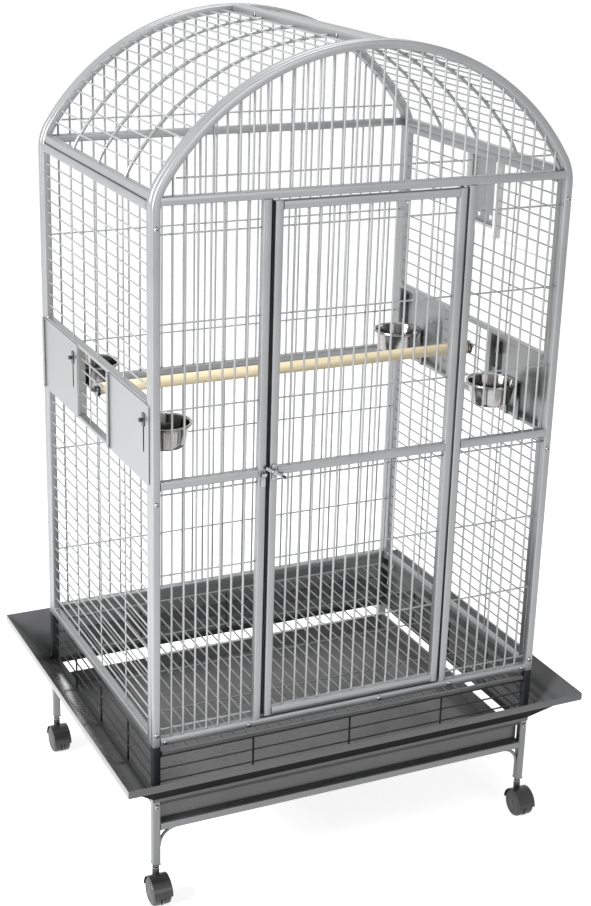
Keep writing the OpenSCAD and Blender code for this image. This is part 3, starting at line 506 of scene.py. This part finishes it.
# Dome: two half panels with bent tube ends, a bottom rail, a ridge tube and three 8 mm rods, bolted
# together along the ridge. The left half is modelled and mirrored.
rod_r, rod_in, rod_start, rods_y = 0.004, 0.0149, radians(14), (-0.176, 0, 0.176)
dome_rail_x, dome_rail_y, ridge_z, ridge_gap = -0.4923, 0.3527, 1.9543, 0.0007


def active(piece):
    """Selects one piece alone."""
    bpy.ops.object.select_all(action="DESELECT")
    piece.select_set(True)
    bpy.context.view_layer.objects.active = piece


def cut_off(piece, point, normal):
    """Saws off what lies behind a plane."""
    active(piece)
    bpy.ops.object.mode_set(mode="EDIT")
    bpy.ops.mesh.select_all(action="SELECT")
    bpy.ops.mesh.bisect(plane_co=point, plane_no=normal, use_fill=True, clear_inner=True)
    bpy.ops.object.mode_set(mode="OBJECT")
    return piece


def dome_curve(section, y, start):
    """Draws a section at the left up round the bend and over the arch to the ridge."""
    back = (0, -1, 0)
    return draw_out(section, ((-bend_x, y, bend_z), back, bend_a - start, bend_steps),
                    ((0, y, arch_z), back, pi / 2 - bend_a - ridge_gap, 30))


parts = []
for y in (-side_half + tube / 2, side_half - tube / 2):
    hoop = dome_curve(open_section((-half_w + tube / 2, y, bend_z), (0, 0, 1), side=tube), y, 0)
    parts.append(cut_off(hoop, (0, 0, seam_z), (0, 0, 1)))
for y in rods_y:
    r = bend_r - rod_in
    foot = (-bend_x - r * cos(rod_start), y, bend_z + r * sin(rod_start))
    section = open_section(foot, (sin(rod_start), 0, cos(rod_start)), radius=rod_r)
    parts.append(dome_curve(section, y, rod_start))
parts.append(y_rail(dome_rail_x, -dome_rail_y, dome_rail_y, seam_z))
parts.append(y_rail(-tube / 2, -dome_rail_y, dome_rail_y, ridge_z))
spots = [(x, s * inner_y, z) for x, z in ((dome_rail_x, seam_z + tube), (-tube / 2, ridge_z))
         for s in (-1, 1)]
left_dome = painted(welded("left_dome_tubes", parts + beads(spots, quarter_turn)), platinum)
right_dome = moved_copy(left_dome, mirrored)
right_dome.name = right_dome.data.name = "right_dome_tubes"
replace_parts(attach(left_dome, "cage"), "left_dome_frame")
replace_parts(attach(right_dome, "cage"), "right_dome_frame")
recoat(wire_coat, "left_dome_bars", "right_dome_bars")

# Stand: legs and lower rails of the same tube, flat runners for the tray, and a bent 8 mm rod in the
# corner under each lower rail.
leg_z, rail_z, ring_z = 0.098, 0.188, 0.257
ring_top, gusset_r = ring_z + tube, 0.044
runner_x0, runner_x1, runner_z0, runner_z1, runner_corner = 0.461, 0.477, 0.204, 0.207, 0.0006
# The stand takes the platinum coat in a darker tone: painted shade from the skirts above it.
shaded_stand_coat = coated("stand_shaded_powder_coat", (0.19, 0.192, 0.195), (0.42, 0.42, 0.41), 0.33, 0.05, 0.25,
                    metallic=0.7)
parts, spots = [], []
for s in (-1, 1):
    for e in (-1, 1):
        parts.append(z_post(s * wall_x, e * bar_y, leg_z, ring_top))
        corner = (s * (inner_x - gusset_r), e * bar_y, rail_z - gusset_r)
        section = open_section((s * inner_x, e * bar_y, rail_z - gusset_r), (0, 0, 1), radius=rod_r)
        parts.append(draw_out(section, (corner, (0, s, 0), pi / 2, 14)))
        spots.append((s * inner_x, e * bar_y, rail_z + tube))
    x0, x1 = sorted((s * runner_x0, s * runner_x1))
    parts.append(length_of_bar((x0, -side_half, runner_z0), (x1, side_half, runner_z1), runner_corner))
    parts.append(x_rail(-inner_x, inner_x, s * bar_y, rail_z))
stand = painted(welded("stand_tubes", parts + beads(spots)), shaded_stand_coat)
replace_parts(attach(stand, "cage"), "stand_frame")

# Base: a ring of square tube between the legs, and four posts on them with flat runners for the grate,
# powder coated dark like the fences. On the posts the dark coat is painted shade from the skirts round them.
grate_x0, grate_z0, grate_z1 = 0.481, 0.3835, 0.3865
dark_coat_and_shade = coated("dark_powder_coat", (0.030, 0.031, 0.033), (0.15, 0.15, 0.15), 0.30, 0.10, 0.30,
                   metallic=0.1, shine=0.3)
parts, spots = [], []
for s in (-1, 1):
    parts.append(x_rail(-inner_x, inner_x, s * bar_y, ring_z))
    parts.append(y_rail(s * wall_x, -side_half, side_half, ring_z))
    spots += [(s * inner_x, e * bar_y, ring_z) for e in (-1, 1)]
ring = painted(welded("base_ring_tubes", parts + beads(spots)), dark_coat_and_shade)
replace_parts(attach(ring, "cage"), "stand_frame")
parts = []
for s in (-1, 1):
    parts += [z_post(s * wall_x, e * bar_y, ring_top, panel_z) for e in (-1, 1)]
    x0, x1 = sorted((s * grate_x0, s * inner_x))
    parts.append(length_of_bar((x0, -half_d, grate_z0), (x1, half_d, grate_z1), runner_corner))
posts = painted(welded("base_post_tubes", parts), dark_coat_and_shade)
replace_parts(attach(posts, "cage"), "base_posts")
recoat(dark_coat_and_shade, "base_fences")

# Grate: steel wire welded to a frame of square bar, coated like the cage and dulled by scraping. It
# slides out to the front on its runners.
grate_coat = coated("grate_powder_coat", (0.21, 0.212, 0.215), (0.42, 0.42, 0.41), 0.36, 0.10, 0.15,
                    metallic=0.4, rub=0.6)
recoat(grate_coat, "grate")

# Seed skirts: 1.2 mm sheet, folded out from the ring and down into a lip with a closed hem, mitred at
# the corners and powder coated dark.
sheet, skirt_out, lip_z, lip_h, flange = 0.0012, 0.093, 0.372, 0.020, 0.009
hem_in, hem_h, mitre_gap, fold_r = 0.0034, 0.009, 0.0004, 0.0016
# The skirt's faces that look down are painted near black: painted shade under the lip.
skirt_coat = coated("skirt_powder_coat", (0.070, 0.071, 0.073), (0.20, 0.20, 0.20), 0.24, 0.10, 0.25,
                    metallic=0.15, coat=1.0, underside_shade=(0.006, 0.006, 0.007), shine=0.2)


def modified(piece, kind, **settings):
    """Adds a modifier and applies it."""
    active(piece)
    bpy.ops.object.modifier_add(type=kind)
    modifier = piece.modifiers[-1]
    for key, value in settings.items():
        setattr(modifier, key, value)
    bpy.ops.object.modifier_apply(modifier=modifier.name)
    return piece


def folded(path, thickness, bend):
    """Sheet folded along X: path is (y, z, half length) from edge to edge, with the sheet on its left."""
    (y0, z0, h0), (y1, z1, h1) = path[:2]
    bpy.ops.object.select_all(action="DESELECT")
    bpy.ops.mesh.primitive_plane_add(size=1, location=(0, (y0 + y1) / 2, (z0 + z1) / 2),
                                     rotation=(atan2(z1 - z0, y1 - y0), 0, 0))
    piece = bpy.context.object
    piece.scale = (2 * h0, sqrt((y1 - y0) ** 2 + (z1 - z0) ** 2), 1)
    bpy.ops.object.transform_apply()
    for vertex in unselected(piece.data).vertices:
        vertex.select = abs(vertex.co.y - y1) + abs(vertex.co.z - z1) < 1e-5
    bpy.context.tool_settings.mesh_select_mode = (True, False, False)
    bpy.ops.object.mode_set(mode="EDIT")
    bpy.ops.transform.resize(value=(h1 / h0, 1, 1))
    for (y0, z0, h0), (y1, z1, h1) in zip(path[1:], path[2:]):
        bpy.ops.mesh.extrude_region_move(TRANSFORM_OT_translate={"value": (0, y1 - y0, z1 - z0)})
        bpy.ops.transform.resize(value=(h1 / h0, 1, 1))
    bpy.ops.object.mode_set(mode="OBJECT")
    bpy.context.tool_settings.mesh_select_mode = (False, True, False)

    def is_bend(a, b):
        on_a_fold = any(abs(a.y - y) + abs(a.z - z) < 1e-5 for y, z, _ in path[1:-1])
        return on_a_fold and abs(a.x - b.x) > path[0][2]

    edges_rounded(piece, is_bend, bend, 4)
    return modified(piece, "SOLIDIFY", thickness=thickness, offset=1, use_even_offset=True)


def skirt(name, half_length, wall, turn):
    """One skirt, folded as the front one is and turned to its side."""
    low, inside = lip_z - lip_h, skirt_out - hem_in
    profile = [(0, ring_top - flange), (0, ring_top), (skirt_out, lip_z), (skirt_out, low), (inside, low),
               (inside, low + hem_h)]
    piece = folded([(-wall - out, z, half_length + out - mitre_gap) for out, z in profile], sheet, fold_r)
    piece.data.transform(Matrix.Rotation(turn, 4, "Z"))
    piece = painted(welded(name + "_sheet", [piece], 40), skirt_coat)
    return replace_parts(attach(piece, "cage"), name)


skirt("skirt_front", half_w, half_d, 0)
skirt("skirt_back", half_w, half_d, pi)
skirt("skirt_left", half_d, half_w, -pi / 2)
skirt("skirt_right", half_d, half_w, pi / 2)

# Tray: a folded steel pan with a rolled rim and a deeper front panel with returned edges, in a dark
# enamel that litter has dulled a little.
tray_z, tray_h = 0.2075, 0.038
tray_y0, tray_y1, tray_half = -0.367, 0.335, 0.477
wall_t, floor_t, rim_t, floor_in = 0.0012, 0.0008, 0.003, 0.993
enamel = coated("tray_enamel", (0.115, 0.115, 0.117), (0.22, 0.22, 0.22), 0.28, 0.10, 0.20, metallic=0.1,
                rub=0.3)
pan = block((-tray_half, tray_y0, tray_z), (tray_half, tray_y1, tray_z + tray_h))
edges_rounded(pan, lambda a, b: abs(a.z - b.z) > tray_h / 2, 0.008, 4)
edges_rounded(pan, lambda a, b: a.z < tray_z + 1e-5 and b.z < tray_z + 1e-5, 0.0025, 3)
for face in pan.data.polygons:
    face.select = face.normal.z > 0.9
bpy.context.tool_settings.mesh_select_mode = (False, False, True)
bpy.ops.object.mode_set(mode="EDIT")
bpy.ops.mesh.inset(thickness=wall_t)
bpy.ops.mesh.extrude_region_move(TRANSFORM_OT_translate={"value": (0, 0, floor_t - tray_h)})
bpy.ops.transform.resize(value=((tray_half - rim_t) / (tray_half - wall_t), floor_in, 1))
bpy.ops.object.mode_set(mode="OBJECT")

panel_half, panel_y, panel_low, panel_high = tray_half + 0.011, -0.3700, 0.2073, 0.2543
hem_y, return_y, return_half = panel_y - 0.0044, panel_y + 0.0045, panel_half - 0.001
panel = folded([(hem_y, panel_low + 0.0032, panel_half), (hem_y, panel_low, panel_half),
                (panel_y, panel_low, panel_half), (panel_y, panel_high, panel_half),
                (return_y, panel_high, return_half), (return_y, panel_high - 0.0063, return_half)],
               -sheet, 0.0010)
rim_z0, rim_z1 = tray_z + tray_h - rim_t, tray_z + tray_h
rim = [length_of_bar((-tray_half, tray_y1 - rim_t, rim_z0), (tray_half, tray_y1, rim_z1), 0.0012)]
for s in (-1, 1):
    x0, x1 = sorted((s * tray_half, s * (tray_half - rim_t)))
    rim.append(length_of_bar((x0, tray_y0, rim_z0), (x1, tray_y1, rim_z1), 0.0012))
tray = painted(welded("tray_pan", [pan, panel] + rim), enamel)
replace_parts(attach(tray, "tray"), "tray")

# Feeder doors: 1.5 mm plate with rounded corners, a finger slot and a rolled edge on a hinge pin,
# powder coated with the frame. One is modelled and the others are copies.
plate_x0, plate_x1, plate_y0, plate_y1, plate_z0, plate_z1 = -0.5099, -0.5084, -0.370, -0.1195, 1.045, 1.225
slot_y, slot_half, slot_z0, slot_z1, slot_r = -0.340, 0.004, 1.112, 1.202, 0.0035
leaf_z0, leaf_l, plate_corner = 1.0515, 0.167, 0.004


def cut_out(piece, cutter):
    """Cuts a hole, and removes the cutter."""
    modified(piece, "BOOLEAN", object=cutter, operation="DIFFERENCE", solver="EXACT")
    bpy.data.objects.remove(cutter)
    return piece


def flat_plate(low, high, corner, ease=0.0003):
    """A sheet in the YZ plane with rounded corners and broken edges."""
    piece = block(low, high)
    edges_rounded(piece, lambda a, b: abs(a.x - b.x) > 1e-4, corner, 4)
    edges_rounded(piece, lambda a, b: abs(a.x - b.x) < 1e-5, ease, 1)
    return piece


def station(side, end):
    """From the front left feeder to another one, by its signs along X and Y."""
    shift = 0 if side == end else station_step
    return (half_turn if side == 1 else Matrix.Identity(4)) @ Matrix.Translation((0, shift, 0))


def at_each_corner(pattern, placing, node):
    """Copies a pattern to the four corners, each on the body with its node's name, and removes it."""
    for s, side in ((-1, "left"), (1, "right")):
        for e, end in ((-1, "front"), (1, "back")):
            place = side + "_" + end
            twin = moved_copy(pattern, placing(s, e))
            twin.name = twin.data.name = pattern.name + "_" + place
            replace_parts(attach(twin, node + place), node + place)
    bpy.data.objects.remove(pattern)


plate = flat_plate((plate_x0, plate_y0, plate_z0), (plate_x1, plate_y1, plate_z1), plate_corner)
cut_out(plate, flat_plate((plate_x0 - 0.002, slot_y - slot_half, slot_z0),
                          (plate_x1 + 0.002, slot_y + slot_half, slot_z1), slot_r))
leaf = length_of_bar((plate_x0, plate_y1 - 0.0005, leaf_z0), (plate_x1, -hinge_y, leaf_z0 + leaf_l), 0.0003)
edge_roll = rolled((-hinge_x, -hinge_y, leaf_z0), (0, 0, 1), leaf_l)
door = painted(welded("feeder_plate", [plate, leaf, edge_roll]), platinum)
at_each_corner(door, station, "feeder_door_")

# Feeder latches: a slider with a ribbed knob outside the door, and behind it a strip that shuts the slot
# and an ear that catches the frame.
black_coat = coated("dark_latch_coat", (0.035, 0.035, 0.037), (0.12, 0.12, 0.12), 0.32, 0.06, 0.2)
slide_z, slide_l, slide_travel = 1.1716, 0.030, 0.059
knob_x, ear_x0, ear_x1 = -0.5113, -0.4990, -0.4960
grip = turned_part((knob_x, slot_y, slide_z + slide_l / 2), (-1, 0, 0), [
    (0.0040, 0), (0.0036, 0.002), (0.0040, 0.004), (0.0050, 0.0055), (0.0050, 0.0085), (0.0043, 0.0098)])
slider = painted(welded("feeder_slider", [
    flat_plate((-0.5123, slot_y - 0.007, slide_z), (-0.5103, slot_y + 0.007, slide_z + slide_l), 0.003),
    length_of_bar((knob_x, slot_y - 0.0036, slide_z), (ear_x1, slot_y + 0.0036, slide_z + slide_l), 0.0008),
    flat_plate((-0.5078, slot_y - 0.0065, slide_z - slide_travel),
               (-0.5066, slot_y + 0.0065, slide_z + slide_l), 0.002),
    flat_plate((ear_x0, slot_y - 0.010, slide_z), (ear_x1, slot_y, slide_z + 0.014), 0.002), grip]),
    black_coat)
at_each_corner(slider, station, "feeder_latch_")

# Bowls: stainless steel, drawn deep and polished, with a rolled rim that rests loose on a ring of
# zinc-plated wire. The ring's arms are bolted to the strip under the feeder opening.
bowl_x, bowl_y, bowl_z = 0.424, 0.240, 1.084


def metal(name, tone, rough, spin_marks):
    """Bare metal with fine marks: along the spinning round each bowl's middle, or in every direction, with
    painted shade deep in its hollows.
    """
    material, tree, out = new_material(name)
    where = knot(tree, "TexCoord").outputs["Object"]
    if spin_marks:
        parts_of, off = knot(tree, "SeparateXYZ", where), []
        for k, middle in ((0, bowl_x), (1, bowl_y)):
            folded_over = knot(tree, "Math", parts_of.outputs[k], settings={"operation": "ABSOLUTE"})
            off.append(knot(tree, "Math", folded_over.outputs[0], middle, settings={"operation": "SUBTRACT"}))
        off = knot(tree, "CombineXYZ", *(made.outputs[0] for made in off))
        out_from = knot(tree, "VectorMath", off.outputs[0], settings={"operation": "LENGTH"})
        where = knot(tree, "CombineXYZ", out_from.outputs["Value"]).outputs[0]
    marks = knot(tree, "TexNoise", Vector=where, Scale=900.0 if spin_marks else 160.0, Detail=3.0)
    sheen = knot(tree, "MapRange", Value=marks.outputs["Fac"], From_Min=0.3, From_Max=0.7,
                 To_Min=rough * 0.75, To_Max=rough * 1.3)
    lifted = knot(tree, "Bump", Height=marks.outputs["Fac"], Strength=0.12, Distance=0.0002)
    smudge = knot(tree, "TexNoise", Vector=knot(tree, "TexCoord").outputs["Object"], Scale=30.0, Detail=4.0)
    colour = shade_of(tree, smudge.outputs["Fac"], (*tone, 1), (*[v * 0.9 for v in tone], 1))
    # Painted shade: the colour falls to 0.12 of the tone deep in hollows, such as the inside of a bowl.
    hollow_shade = knot(tree, "AmbientOcclusion", Distance=0.11, settings={"samples": 4})
    unshaded = knot(tree, "MapRange", Value=hollow_shade.outputs["AO"], From_Min=0.4, From_Max=0.92)
    colour = shade_of(tree, unshaded.outputs[0], (*[v * 0.12 for v in tone], 1), colour)
    skin = knot(tree, "BsdfPrincipled", Metallic=1.0, Roughness=sheen.outputs[0], Normal=lifted.outputs[0],
                Base_Color=colour)
    tree.links.new(skin.outputs[0], out.inputs["Surface"])
    return material


stainless = metal("stainless_steel", (0.50, 0.49, 0.48), 0.12, True)
zinc = metal("zinc_plate", (0.38, 0.38, 0.39), 0.26, False)
bowl = turned_part((-bowl_x, -bowl_y, bowl_z), (0, 0, 1), [
    (0.0400, 0), (0.0450, 0.0010), (0.0475, 0.0045), (0.0490, 0.0100), (0.0565, 0.0520),
    (0.0575, 0.0540), (0.0615, 0.0543), (0.0628, 0.0550), (0.0625, 0.0558), (0.0612, 0.0560),
    (0.0585, 0.0557), (0.0568, 0.0545), (0.0556, 0.0518), (0.0480, 0.0102), (0.0464, 0.0050),
    (0.0438, 0.0020), (0.0400, 0.0010)], around=56)
bowl = painted(welded("bowl_steel", [bowl], 50), stainless)
at_each_corner(bowl, lambda s, e: Matrix.Diagonal((-s, -e, 1, 1)), "bowl_")
recoat(zinc, "bowl_ring_left_front", "bowl_ring_left_back", "bowl_ring_right_front", "bowl_ring_right_back")

# Perch: a turned dowel of pale, unvarnished hardwood with eased ends, held between the side panels by a
# zinc-plated bolt, washers and nut at each end.
wood, tree, out = new_material("pale_hardwood")
where = knot(tree, "TexCoord").outputs["Object"]
stretched = knot(tree, "Mapping", Vector=where, Scale=(1.6, 60, 60))
fibres = knot(tree, "TexNoise", Vector=stretched.outputs[0], Scale=4.0, Detail=6.0, Distortion=0.4)
thin = knot(tree, "Mapping", Vector=where, Scale=(14, 420, 420))
pores = knot(tree, "TexNoise", Vector=thin.outputs[0], Scale=2.0, Detail=2.0)
streak = knot(tree, "MapRange", Value=fibres.outputs["Fac"], From_Min=0.32, From_Max=0.68)
pitted = knot(tree, "MapRange", Value=pores.outputs["Fac"], From_Min=0.62, From_Max=0.74, To_Max=0.35)
tone = shade_of(tree, streak.outputs[0], (0.86, 0.76, 0.52, 1), (0.76, 0.63, 0.40, 1))
tone = shade_of(tree, pitted.outputs[0], tone, (0.50, 0.37, 0.20, 1))
skin = knot(tree, "BsdfPrincipled", Base_Color=tone, Roughness=0.55,
            Normal=knot(tree, "Bump", Height=pores.outputs["Fac"], Strength=0.2, Distance=0.0003).outputs[0])
tree.links.new(skin.outputs[0], out.inputs["Surface"])
perch_z, perch_half = 1.149167, 0.4932
eased = [(0.0118, 0), (0.0132, 0.0006), (0.0140, 0.0024)]
dowel = turned_part((-perch_half, 0, perch_z), (1, 0, 0),
                    eased + [(r, 2 * perch_half - h) for r, h in reversed(eased)], around=40)
dowel = painted(welded("perch_dowel", [dowel]), wood)
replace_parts(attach(dowel, "cage"), "perch")
recoat(zinc, "perch_bolts", "hinge_pins")

# Nest door: 1.5 mm plate with two finger holes, rolled over its pin at the top, and a turn button on
# the sill below it.
leaf_half, hole_y, hole_z, hole_r = 0.076, 0.027, 1.495, 0.0065
button_z, button_half = 1.461, 0.015
plate = flat_plate((-plate_x1, nest_y - leaf_half, nest_z0), (-plate_x0, nest_y + leaf_half, nest_pin_z),
                   plate_corner)
for s in (-1, 1):
    cut_out(plate, rolled((0.500, nest_y + s * hole_y, hole_z), (1, 0, 0), 0.018, hole_r))
roll = rolled((0.512, nest_y - leaf_half, nest_pin_z), (0, 1, 0), 2 * leaf_half, 0.0036)
hatch = painted(welded("nest_plate", [plate, roll]), platinum)
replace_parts(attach(hatch, "nest_door"), "nest_door")
button = painted(welded("nest_button", [
    flat_plate((0.5103, nest_y - button_half, button_z - 0.004),
               (0.5123, nest_y + button_half, button_z + 0.004), 0.0032),
    rolled((0.497, nest_y, button_z), (1, 0, 0), 0.0145, 0.003),
    rolled((0.5113, nest_y, button_z), (1, 0, 0), 0.006)]), black_coat)
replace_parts(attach(button, "nest_latch"), "nest_latch")

# Door latch: a zinc-plated plate riveted to the door's stile, a stamped lever on a pivot, and a hook of
# bent strip on the fixed stile.
latch_x, latch_z, lever_y, lifted = -0.2225, 1.0455, -0.3944, radians(30)
backing_half, backing_h, backing_y, rivet_z = 0.006, 0.018, -0.393, 0.0135
hook_x, hook_half, strip_t = -0.2495, 0.006, 0.002


def face_plate(low, high, corner):
    """A plate in the XZ plane with rounded corners and eased edges."""
    piece = block(low, high)
    edges_rounded(piece, lambda a, b: abs(a.y - b.y) > 1e-4, corner, 4)
    edges_rounded(piece, lambda a, b: abs(a.y - b.y) < 1e-5, 0.0004, 2)
    return piece


parts = [face_plate((latch_x - backing_half, backing_y, latch_z - backing_h),
                    (latch_x + backing_half, -half_d, latch_z + backing_h), 0.003)]
for s in (-1, 1):
    parts.append(turned_part((latch_x, backing_y + 0.0005, latch_z + s * rivet_z), (0, -1, 0),
                             [(0.0030, 0), (0.0028, 0.0008), (0.0020, 0.0012), (0.0008, 0.0014)], around=20))
backing = painted(welded("latch_backing", parts), zinc)
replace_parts(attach(backing, "front_door"), "door_latch_plate")
hub = turned_part((0, 0, 0), (0, -1, 0), [(0.0070, 0), (0.0070, 0.0036), (0.0066, 0.0041), (0.0052, 0.0043),
                                         (0.0050, 0.0064), (0.0036, 0.0070)], around=28)
pivot = rolled((0, 0.0040, 0), (0, -1, 0), 0.006, 0.003)
lever = welded("latch_lever", [
    face_plate((-0.026, -0.003, -0.0038), (0.004, -0.0001, 0.0038), 0.003),
    face_plate((0, -0.003, -0.0034), (0.0287, -0.0001, 0.0034), 0.0015),
    face_plate((0.0262, -0.012, -0.0034), (0.029, -0.0005, 0.0034), 0.0012), hub, pivot])
lever.data.transform(Matrix.Translation((latch_x, lever_y, latch_z)) @ Matrix.Rotation(lifted, 4, "Y"))
lever = painted(lever, zinc)
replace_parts(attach(lever, "door_latch"), "door_latch")
seat, hook_end = latch_z - 0.0054, -0.3998
hook = folded([(-half_d, seat - 0.0005, hook_half), (hook_end, seat - 0.0005, hook_half),
               (hook_end, seat + 0.0070, hook_half)], -strip_t, 0.0012)
hook.data.transform(Matrix.Translation((hook_x, 0, 0)))
base = face_plate((hook_x - hook_half, -0.3935, seat - 0.026),
                  (hook_x + hook_half, -half_d, seat + 0.008), 0.003)
catch = painted(welded("latch_hook", [hook, base]), zinc)
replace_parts(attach(catch, "cage"), "latch_keeper")

# Panel bolts: M6 button heads with a hexagon socket, zinc plated. They join post to post and the dome's
# halves at the ridge, and others sit in the bottom rail and the legs.
post_bolts_z, ridge_bolt = (0.441, 1.005, 1.608, 0.253), 0.218
rail_bolts_x = (-0.478, -0.2705, 0.073, 0.267, 0.478)
pattern = turned_part((0, 0, 0), (0, 0, 1), [
    (0.0030, -0.008), (0.0030, 0), (0.0060, 0.0002), (0.0060, 0.0012), (0.0055, 0.0024), (0.0042, 0.0034),
    (0.0026, 0.0039)], around=28)
bpy.ops.mesh.primitive_cylinder_add(vertices=6, radius=0.0027, depth=0.006, location=(0, 0, 0.005))
cut_out(pattern, bpy.context.object)
heads = []
for s in (-1, 1):
    for e in (-1, 1):
        outward = Vector((0, e, 0)).to_track_quat("Z", "X").to_matrix().to_4x4()
        for z in post_bolts_z:
            heads.append(moved_copy(pattern, Matrix.Translation((s * wall_x, e * half_d, z)) @ outward))
    on_ridge = Matrix.Translation((-tube, s * ridge_bolt, 1.9635)) @ Matrix.Rotation(-pi / 2, 4, "Y")
    heads.append(moved_copy(pattern, on_ridge))
outward = Vector((0, -1, 0)).to_track_quat("Z", "X").to_matrix().to_4x4()
for x in rail_bolts_x:
    heads.append(moved_copy(pattern, Matrix.Translation((x, -half_d, panel_z + tube / 2)) @ outward))
bpy.data.objects.remove(pattern)
bolts = painted(welded("panel_bolt_heads", heads, 30), zinc)
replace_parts(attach(bolts, "cage"), "frame_bolts")

# Casters: a moulded hood over twin wheels on an axle, swivelling on a bright steel stem in the leg's
# plastic socket. One of each is modelled and copied to the other legs.
trail, axle_z, hood_r, hood_w, hood_t = 0.018, 0.035, 0.038, 0.023, 0.0022
hood_in, web_half, boss_z, stem_z = 0.0364, 0.003, 0.053, 0.0855


def moulded(name, tone, rough, mottle, bump):
    """Black moulding: an even colour, a slightly uneven gloss and a fine texture."""
    material, tree, out = new_material(name)
    where = knot(tree, "TexCoord").outputs["Object"]
    broad = knot(tree, "TexNoise", Vector=where, Scale=40.0, Detail=4.0)
    fine = knot(tree, "TexNoise", Vector=where, Scale=700.0, Detail=2.0)
    gloss = knot(tree, "MapRange", Value=broad.outputs["Fac"], To_Min=rough - mottle, To_Max=rough + mottle)
    raised = knot(tree, "Bump", Height=fine.outputs["Fac"], Strength=bump, Distance=0.0003)
    skin = knot(tree, "BsdfPrincipled", Roughness=gloss.outputs[0],
                Base_Color=shade_of(tree, broad.outputs["Fac"], (*tone, 1), (*[v * 1.5 for v in tone], 1)),
                Normal=raised.outputs[0])
    tree.links.new(skin.outputs[0], out.inputs["Surface"])
    return material


black_nylon = moulded("black_nylon", (0.018, 0.018, 0.019), 0.30, 0.08, 0.15)
tread = moulded("caster_tread", (0.030, 0.030, 0.031), 0.48, 0.10, 0.35)
axle = Vector((0, -trail, axle_z))
shell = open_section(axle + Vector((0, hood_t / 2 - hood_r, 0)), (0, 0, 1), side=hood_t)
bpy.ops.transform.resize(value=(2 * hood_w / hood_t, 1, 1))
shell = draw_out(shell, (axle, (1, 0, 0), pi, 40))
web = turned_part(axle - Vector((web_half, 0, 0)), (1, 0, 0), [(hood_in, 0), (hood_in, 2 * web_half)],
                  around=48)
cut_off(web, (0, 0, 0.008), (0, 0, 1))
boss = turned_part((0, 0, boss_z), (0, 0, 1), [
    (0.0085, 0), (0.0085, 0.0315), (0.0078, 0.0330), (0.0060, 0.0330)], around=32)
cut_out(boss, turned_part(axle - Vector((0.03, 0, 0)), (1, 0, 0), [(0.0360, 0), (0.0360, 0.06)], around=64))
fork = painted(welded("caster_hood", [shell, web, boss]), black_nylon)
stem = turned_part((0, 0, stem_z), (0, 0, 1), [
    (0.0080, 0), (0.0080, 0.0030), (0.0055, 0.0036), (0.0055, 0.0350)], around=28)
stem = painted(welded("caster_stem", [stem]), zinc)
tyre_ring = [(0.0245, 0.0037), (0.0330, 0.0037), (0.0350, 0.0055), (0.0350, 0.0095), (0.0345, 0.0100),
             (0.0345, 0.0108), (0.0350, 0.0113), (0.0350, 0.0165), (0.0336, 0.0200), (0.0305, 0.0216),
             (0.0255, 0.0220)]
cap_ring = [(0.0250, 0.0060), (0.0262, 0.0218), (0.0255, 0.0226), (0.0240, 0.0222), (0.0225, 0.0200),
            (0.0120, 0.0196), (0.0100, 0.0216), (0.0080, 0.0226), (0.0040, 0.0227)]
wheels = [turned_part(axle, (s, 0, 0), tyre_ring, around=56) for s in (-1, 1)]
hubs = [turned_part(axle, (s, 0, 0), cap_ring, around=40) for s in (-1, 1)]
hubs.append(rolled(axle - Vector((0.0057, 0, 0)), (1, 0, 0), 0.0114, 0.003))
wheels = painted(welded("caster_tyres", wheels), tread)
hubs = painted(welded("caster_hubs", hubs), black_nylon)
for pattern, body, slot in ((fork, "caster_fork_", "caster_plastic"), (stem, "caster_fork_", "zinc_steel"),
                            (wheels, "caster_wheels_", "wheel_rubber"),
                            (hubs, "caster_wheels_", "caster_plastic")):
    at_each_corner(pattern, lambda s, e: Matrix.Translation((s * wall_x, e * bar_y, 0)), body)
recoat(black_nylon, "caster_sockets")

bpy.data.objects.remove(bead)
